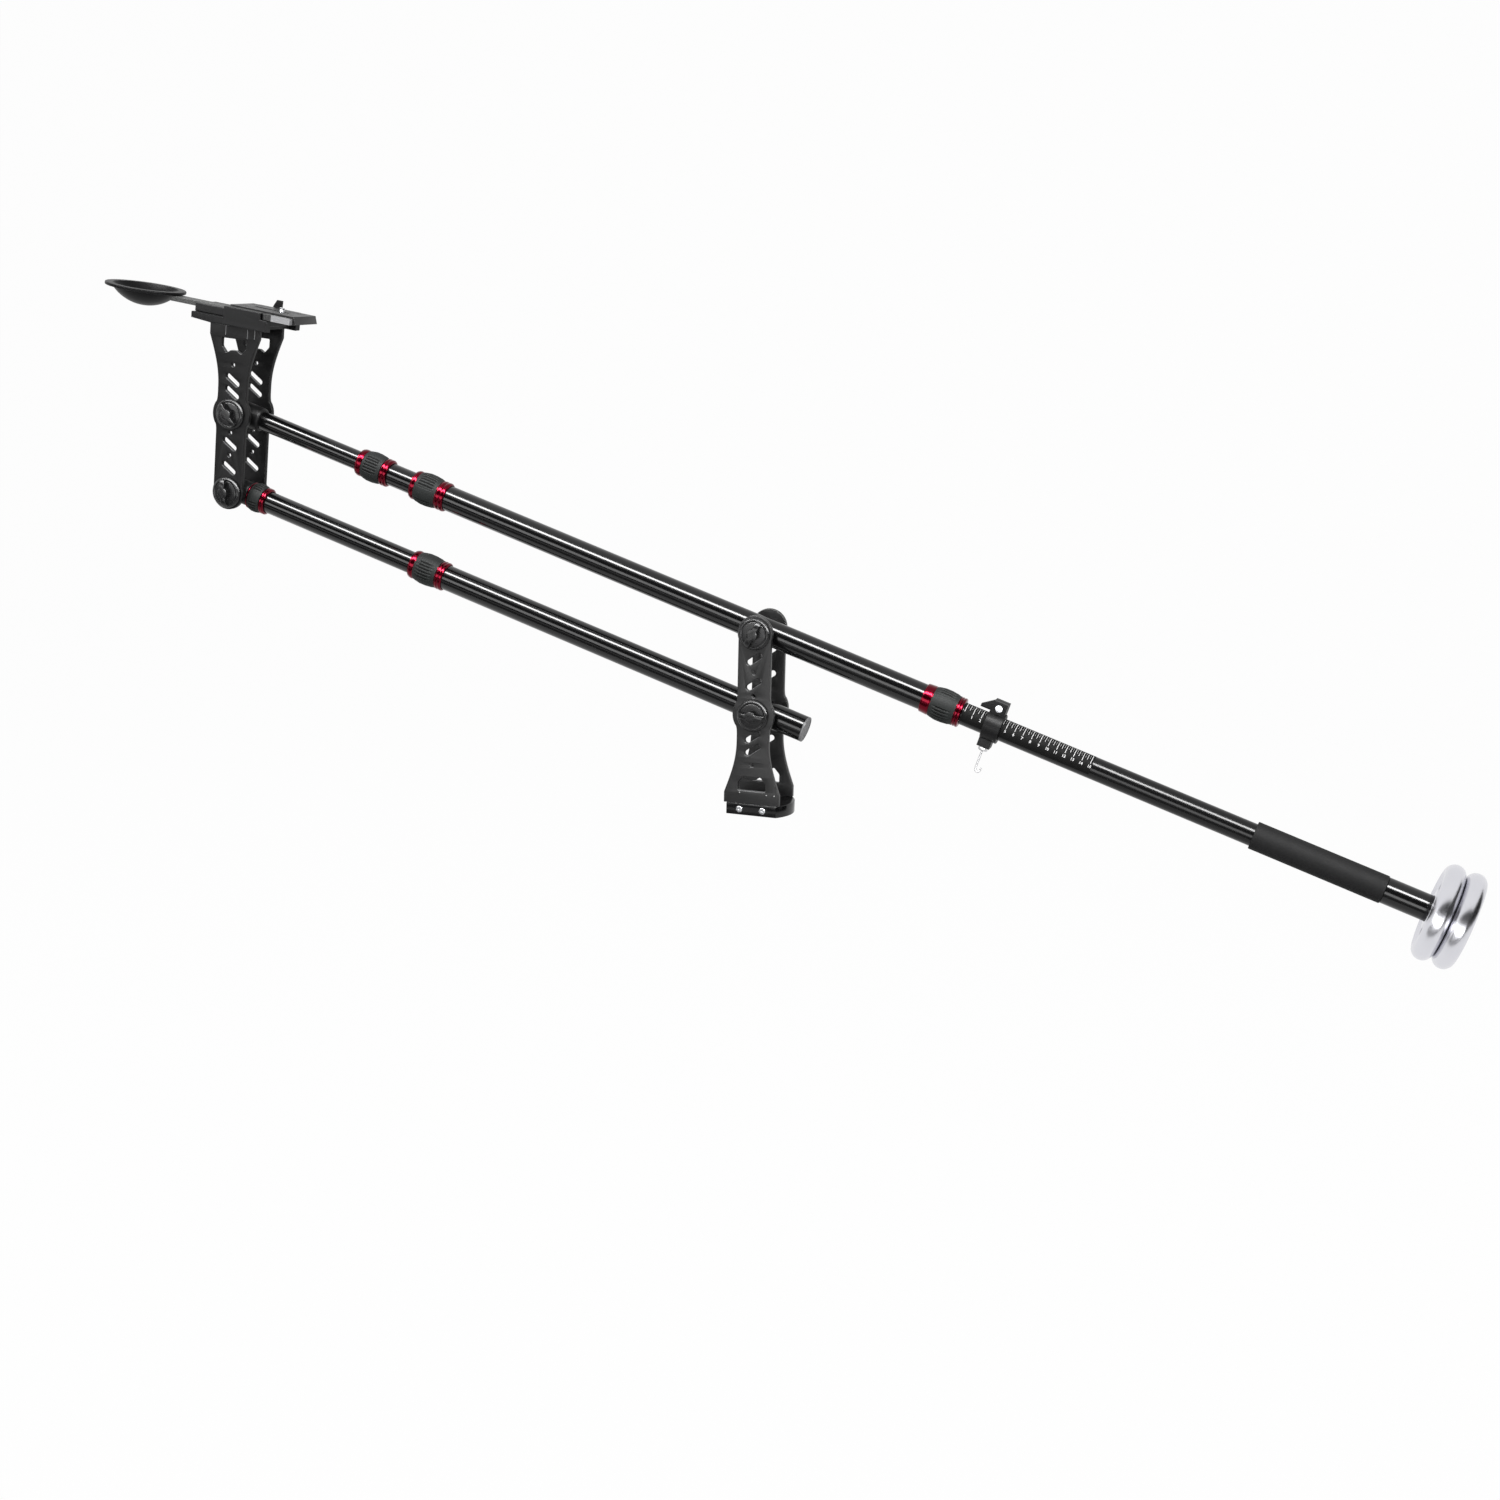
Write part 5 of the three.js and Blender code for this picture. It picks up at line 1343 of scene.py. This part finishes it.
def buildClamp():
    c = clamp
    outside = faceHalf + gap
    room = lever["hub"] + lever["play"]
    body = block(c["front"], c["back"], -c["half"], c["half"], gap, clampTop)
    skirts = [block(c["front"], c["back"], -c["half"], -outside, gap - c["skirt"], gap + over),
              block(c["front"], c["back"], outside, c["half"], gap - c["skirt"], gap + over)]
    bore = lever["pin"] + gap
    leverHole = turnedUp(pin(bore, leverLow - lever["pinDepth"] - gap, leverLow + over), sides=32)
    catchHole = turnedUp(pin(bore, clampTop - lever["pinDepth"], clampTop + over), sides=32)
    high = clampTop + over
    seat = leverLow - lever["play"]
    cuts = [
        block(c["front"] - over, c["back"] + over, -c["channel"], c["channel"], channelFloor, high),
        block(leverX - room, c["back"] + over, -c["half"] - over, leverY + room, seat, high),
        moved(leverHole, x=leverX, y=leverY),
        moved(catchHole, x=catch["x"], y=catchY),
    ]
    piece("clamp_body_milled", worked(body, added=skirts, cut=cuts), "head", headBlack,
          platformSpace, ["clamp_body"], edge=c["edge"])


def buildLever():
    v = lever
    top = leverLow + v["height"] - gap
    hub = turnedUp(softPin(v["hub"], leverLow, top, v["hubSoft"]), sides=48)
    stem = turnedUp(pin(v["pin"], leverLow - v["pinDepth"], leverLow + over), sides=32)
    half = v["thickness"] / 2
    end = v["reach"] + v["inset"]
    arm = block(0, end, -half, half, leverLow, top)
    grooves = []
    for height in v["grooves"]:
        z = leverLow + height
        grooves.append(block(v["dark"] + v["grooveRoom"], end - v["grooveRoom"], -half - over,
                             v["grooveDepth"] - half, z - v["grooveHalf"], z + v["grooveHalf"]))
    # the lever is split where its painted shade ends
    form = split(worked(hub, added=[stem, arm], cut=grooves), (v["dark"], 0, 0), (1, 0, 0))
    made = piece("clamp_lever_milled", form, "clamp_lever", leverSatin, platformSpace,
                 ["clamp_lever"], edge=v["edge"], at=(leverX, leverY, 0))
    partly(made, plateBlack, lambda centre, normal: centre.x < v["dark"])  # painted shade: the plate's black finish round the hub, where the lever sits in shadow


def buildCatch():
    c = catch
    low = clampTop + gap
    disc = turnedUp(softPin(c["r"], low, low + c["base"], c["soft"]), sides=48)
    stem = turnedUp(pin(lever["pin"], low - lever["pinDepth"] + 2 * gap, low + over), sides=32)
    half = c["reach"] / 2
    top = low + c["base"] + c["finHeight"]
    outline = [(-half, low + over), (half, low + over), (half, top), (c["slant"] - half, top)]
    fin = standing(slab(outline, [], -c["fin"] / 2, c["fin"] / 2, c["soft"]))
    piece("safety_catch_moulded", worked(disc, added=[stem, fin]), "safety_catch", headBlack,
          platformSpace, ["safety_catch"], edge=c["edge"], at=(c["x"], catchY, 0))


def buildSlidePlate():
    s = slide
    half = clamp["channel"] - gap
    low = channelFloor + gap
    top = low + s["height"]
    thin = s["lipThickness"]
    body = block(clamp["front"], s["back"] - thin / 2, -half, half, low, top)
    foot = s["back"] + s["slant"]
    end = low - s["lip"]
    outline = [(s["back"] - thin, top), (foot - thin, end), (foot, end), (s["back"], top)]
    lip = standing(slab(outline, [], -half, half, s["lipSoft"]))
    slotEnd = s["slotFrom"] + s["slotLength"]
    room = s["recessHalf"]
    cuts = [
        block(s["slotFrom"], slotEnd, -s["slotHalf"], s["slotHalf"], low - over, top + over),
        block(s["slotFrom"] - room, slotEnd + room, -room, room, low - over, low + s["recess"]),
    ]
    for side in (-1, 1):  # shallow grooves along the top, beside the slot
        for place in s["grooves"]:
            y = side * place
            cuts.append(block(clamp["front"] + s["grooveFront"], s["back"] - s["grooveBack"],
                              y - s["grooveHalf"], y + s["grooveHalf"], top - s["grooveDepth"], top + over))
    piece("slide_plate_milled", worked(body, added=[lip], cut=cuts), "slide_plate", plateBlack,
          platformSpace, ["slide_plate"], edge=s["edge"])


def buildCameraScrew():
    s = screw
    low = channelFloor + 2 * gap
    top = channelFloor + gap + slide["height"] + s["proud"]
    disc = turnedUp(softPin(s["head"], low, low + s["headHeight"], s["headEdge"]), sides=48)
    thread = [(0, low + over), (s["r"], low + over)]
    for k in range(int((top - low - s["threadRoom"]) / s["pitch"])):
        height = low + s["threadFrom"] + k * s["pitch"]
        thread += [(s["r"], height), (s["r"] - s["threadDepth"], height + s["pitch"] / 2)]
    thread += [(s["r"], top - s["tip"]), (s["r"] - s["tip"], top), (0, top)]
    form = worked(disc, added=[turnedUp(thread, sides=48)])
    piece("camera_screw_threaded", form, "camera_screw", steel, platformSpace, ["camera_screw"],
          at=(s["x"], 0, 0), sharp=25)


front = {"half": 22, "height": 9.8, "floor": 3.9, "edge": 0.8, "bar": 6, "barHalf": 11, "barBack": -22,
         "barEdge": 0.5}
bowl = {"centre": -143.2, "flange": 48, "wall": 42, "depth": 23, "thickness": 2.4, "rim": 3.5, "soft": 1.1,
        "steps": 32}


def buildFront():
    f = front
    floor = gap + f["floor"]
    top = gap + f["height"]
    body = block(head["front"], clamp["front"] - gap, -f["half"], f["half"], gap, top)
    side = f["barHalf"] + gap
    channel = block(head["front"] - over, f["barBack"] + gap, -side, side, floor, top + over)
    piece("front_block_milled", worked(body, cut=[channel]), "head", headBlack, platformSpace,
          ["front_block"], edge=f["edge"])
    barFront = bowl["centre"] + bowl["wall"] + gap
    bar = block(barFront, f["barBack"], -f["barHalf"], f["barHalf"], floor + gap, floor + gap + f["bar"])
    piece("bowl_bar_milled", bar, "head", speckled, platformSpace, ["bowl_bar"],
          edge=f["barEdge"])


def buildBowl():
    b = bowl
    steps = b["steps"]
    low = gap + front["floor"] + gap + front["bar"] + gap
    top = low + b["rim"]
    sphere = (b["wall"] ** 2 + b["depth"] ** 2) / (2 * b["depth"])
    centre = top - b["depth"] + sphere
    outerAngle = math.acos((centre - low) / sphere)
    inside = sphere - b["thickness"]
    mouth = math.acos((centre - top) / inside)

    def onDish(radius, angle):
        return radius * math.sin(angle), centre - radius * math.cos(angle)

    outline = [onDish(sphere, outerAngle * k / steps) for k in range(steps + 1)]
    rim = [outline[-1], (b["flange"], low), (b["flange"], top), (inside * math.sin(mouth), top)]
    outline += softened(rim, b["soft"], steps=4, closed=False)[1:]
    outline += [onDish(inside, mouth * (1 - k / steps)) for k in range(1, steps + 1)]
    piece("front_bowl_spun", turnedUp(outline, sides=160), "head", bowlBlack, platformSpace,
          ["front_bowl"], at=(b["centre"], 0, 0), sharp=35)


buildClamp()
buildLever()
buildCatch()
buildSlidePlate()
buildCameraScrew()
buildFront()
buildBowl()
print("head made")


# Studio: floor, backdrop, lamps, camera
studio = {"floorZ": -0.75, "floorHalf": 30, "backdropY": 5.5, "backdropHeight": 9, "sweep": 1,
          "sweepSteps": 16, "tone": 0.86, "shown": 0.97, "ambient": 0.35}
rays = ("Is Camera Ray", "Is Glossy Ray", "Is Transmission Ray")
cards = [  # seen only in the reflections: in front, on the floor before the object, and to its right
    {"name": "front_card", "box": (-5, 5, -3.22, -3.2, -0.72, 3.0), "shade": 0.01},
    {"name": "floor_card", "box": (-5, 5, -2.1, -0.85, -0.72, -0.7), "shade": 0.28},
    {"name": "side_card", "box": (3.0, 3.02, -3.2, 1.5, -0.72, 1.2), "shade": 0.02},
]
lamps = [
    {"name": "overhead", "at": (0.05, 0.45, 1.85), "aim": (0.05, 0.44, 0), "size": (6, 3.2), "power": 45,
     "glossy": False},
    {"name": "front_fill", "at": (0.3, -3.0, 1.6), "aim": (0, 0, 0.2), "size": (2.5, 1.6), "power": 60,
     "glossy": False},
]
strips = [  # long lamps beside the arms, only for their reflections
    {"name": "upper_strip", "elevation": 56, "distance": 1.0, "size": (4.5, 0.24), "power": 140,
     "skipsChrome": True},
    {"name": "lower_strip", "elevation": -5, "distance": 1.5, "size": (4.5, 0.5), "power": 34,
     "skipsChrome": False},
]
stripX = -0.25  # along the arm, in metres


def shownWhite(finish, share):  # 1 where metal or glass looks at it, and this share where the camera does
    seen, mirrored, through = (finish.node("ShaderNodeLightPath", {}, [], ray) for ray in rays)
    return (seen * share + mirrored + through).clamped()


def plainFinish(name, shade):
    return Finish(name, Specular_IOR_Level=0.0, Roughness=1.0, Base_Color=(shade, shade, shade))


def backgroundFinish():
    finish = plainFinish("studio_pale", studio["tone"])
    glow = finish.node("ShaderNodeEmission", {}, {"Color": (1, 1, 1), "Strength": 1.0})
    shader = Value(finish, finish.shader.outputs[0])
    mixed = finish.node("ShaderNodeMixShader", {}, [shownWhite(finish, studio["shown"]), shader, glow])
    finish.tree.links.new(mixed.socket, finish.tree.nodes["Material Output"].inputs["Surface"])
    return finish.material


def studioPiece(name, form, finish):
    mesh = toMesh(form)
    made = bpy.data.objects.new(name, mesh)
    mesh.materials.append(finish)
    mesh.shade_smooth()
    bpy.context.scene.collection.objects.link(made)
    return made


def buildBackground():
    s = studio
    form = bmesh.new()
    half = s["floorHalf"]
    turns = [math.pi / 2 * k / s["sweepSteps"] for k in range(s["sweepSteps"] + 1)]
    rows = [(-half, s["floorZ"])]
    rows += [(s["backdropY"] + s["sweep"] * (math.sin(a) - 1), s["floorZ"] + s["sweep"] * (1 - math.cos(a)))
             for a in turns]
    rows.append((s["backdropY"], s["backdropHeight"]))
    verts = [[form.verts.new((x, y, z)) for x in (-half, half)] for y, z in rows]
    for low, high in zip(verts, verts[1:]):
        form.faces.new([low[0], low[1], high[1], high[0]])
    studioPiece("studio_sweep", form, backgroundFinish())
    for card in cards:
        finish = plainFinish(card["name"], card["shade"])
        made = studioPiece(card["name"], block(*card["box"]), finish.material)
        made.visible_camera = False
        made.visible_diffuse = False
        made.visible_shadow = False


def buildLamp(lamp, place):
    light = bpy.data.lights.new(lamp["name"], "AREA")
    light.shape = "RECTANGLE"
    light.size, light.size_y = lamp["size"]
    light.energy = lamp["power"]
    holder = bpy.data.objects.new(lamp["name"], light)
    holder.matrix_world = place
    bpy.context.scene.collection.objects.link(holder)
    holder.visible_camera = False
    holder.visible_glossy = lamp.get("glossy", True)
    return holder


def buildLamps():
    for lamp in lamps:
        at = Vector(lamp["at"])
        aim = (Vector(lamp["aim"]) - at).to_track_quat("-Z", "Y")
        buildLamp(lamp, Matrix.Translation(at) @ aim.to_matrix().to_4x4())
    for strip in strips:
        rise = strip["elevation"] * degree
        reach = strip["distance"]
        at = Matrix.Translation((stripX, -reach * math.cos(rise), reach * math.sin(rise)))
        holder = buildLamp(strip, armSpace @ at @ Matrix.Rotation(math.pi / 2 - rise, 4, "X"))
        holder.visible_diffuse = False
        if strip["skipsChrome"]:
            holder.light_linking.receiver_collection = notChromed


def buildWorld():
    world = bpy.data.worlds.new("studio")
    bpy.context.scene.world = world
    world.use_nodes = True
    nodes, links = world.node_tree.nodes, world.node_tree.links
    path = nodes.new("ShaderNodeLightPath")
    level = None
    for ray in rays:
        larger = nodes.new("ShaderNodeMath")
        larger.operation = "MAXIMUM"
        links.new(path.outputs[ray], larger.inputs[0])
        larger.inputs[1].default_value = studio["ambient"]
        if level:
            links.new(level, larger.inputs[1])
        level = larger.outputs[0]
    links.new(level, nodes["Background"].inputs["Strength"])
    nodes["Background"].inputs["Color"].default_value = (1, 1, 1, 1)


view = {"at": (0.75508, -2.35439, 0.6439), "azimuth": 18.05, "pitch": 13.03, "roll": 1.26, "focal": 2196.97,
        "photoWidth": 1500, "sensor": 36, "farthest": 50}


def buildCamera():
    turn, pitch, roll = (view[key] * degree for key in ("azimuth", "pitch", "roll"))
    forward = Vector((-math.sin(turn) * math.cos(pitch), math.cos(turn) * math.cos(pitch), -math.sin(pitch)))
    level = Vector((math.cos(turn), math.sin(turn), 0))
    upright = level.cross(forward)
    right = level * math.cos(roll) + upright * math.sin(roll)
    up = upright * math.cos(roll) - level * math.sin(roll)
    lens = bpy.data.cameras.new("view")
    lens.sensor_width = view["sensor"]
    lens.lens = view["focal"] / view["photoWidth"] * view["sensor"]
    lens.clip_end = view["farthest"]
    holder = bpy.data.objects.new("view", lens)
    holder.matrix_world = Matrix.Translation(view["at"]) @ Matrix((right, up, -forward)).transposed().to_4x4()
    bpy.context.scene.collection.objects.link(holder)
    bpy.context.scene.camera = holder


buildBackground()
buildLamps()
buildWorld()
buildCamera()
bpy.context.scene.view_settings.view_transform = "Standard"
print("studio and camera set")

bpy.context.view_layer.update()
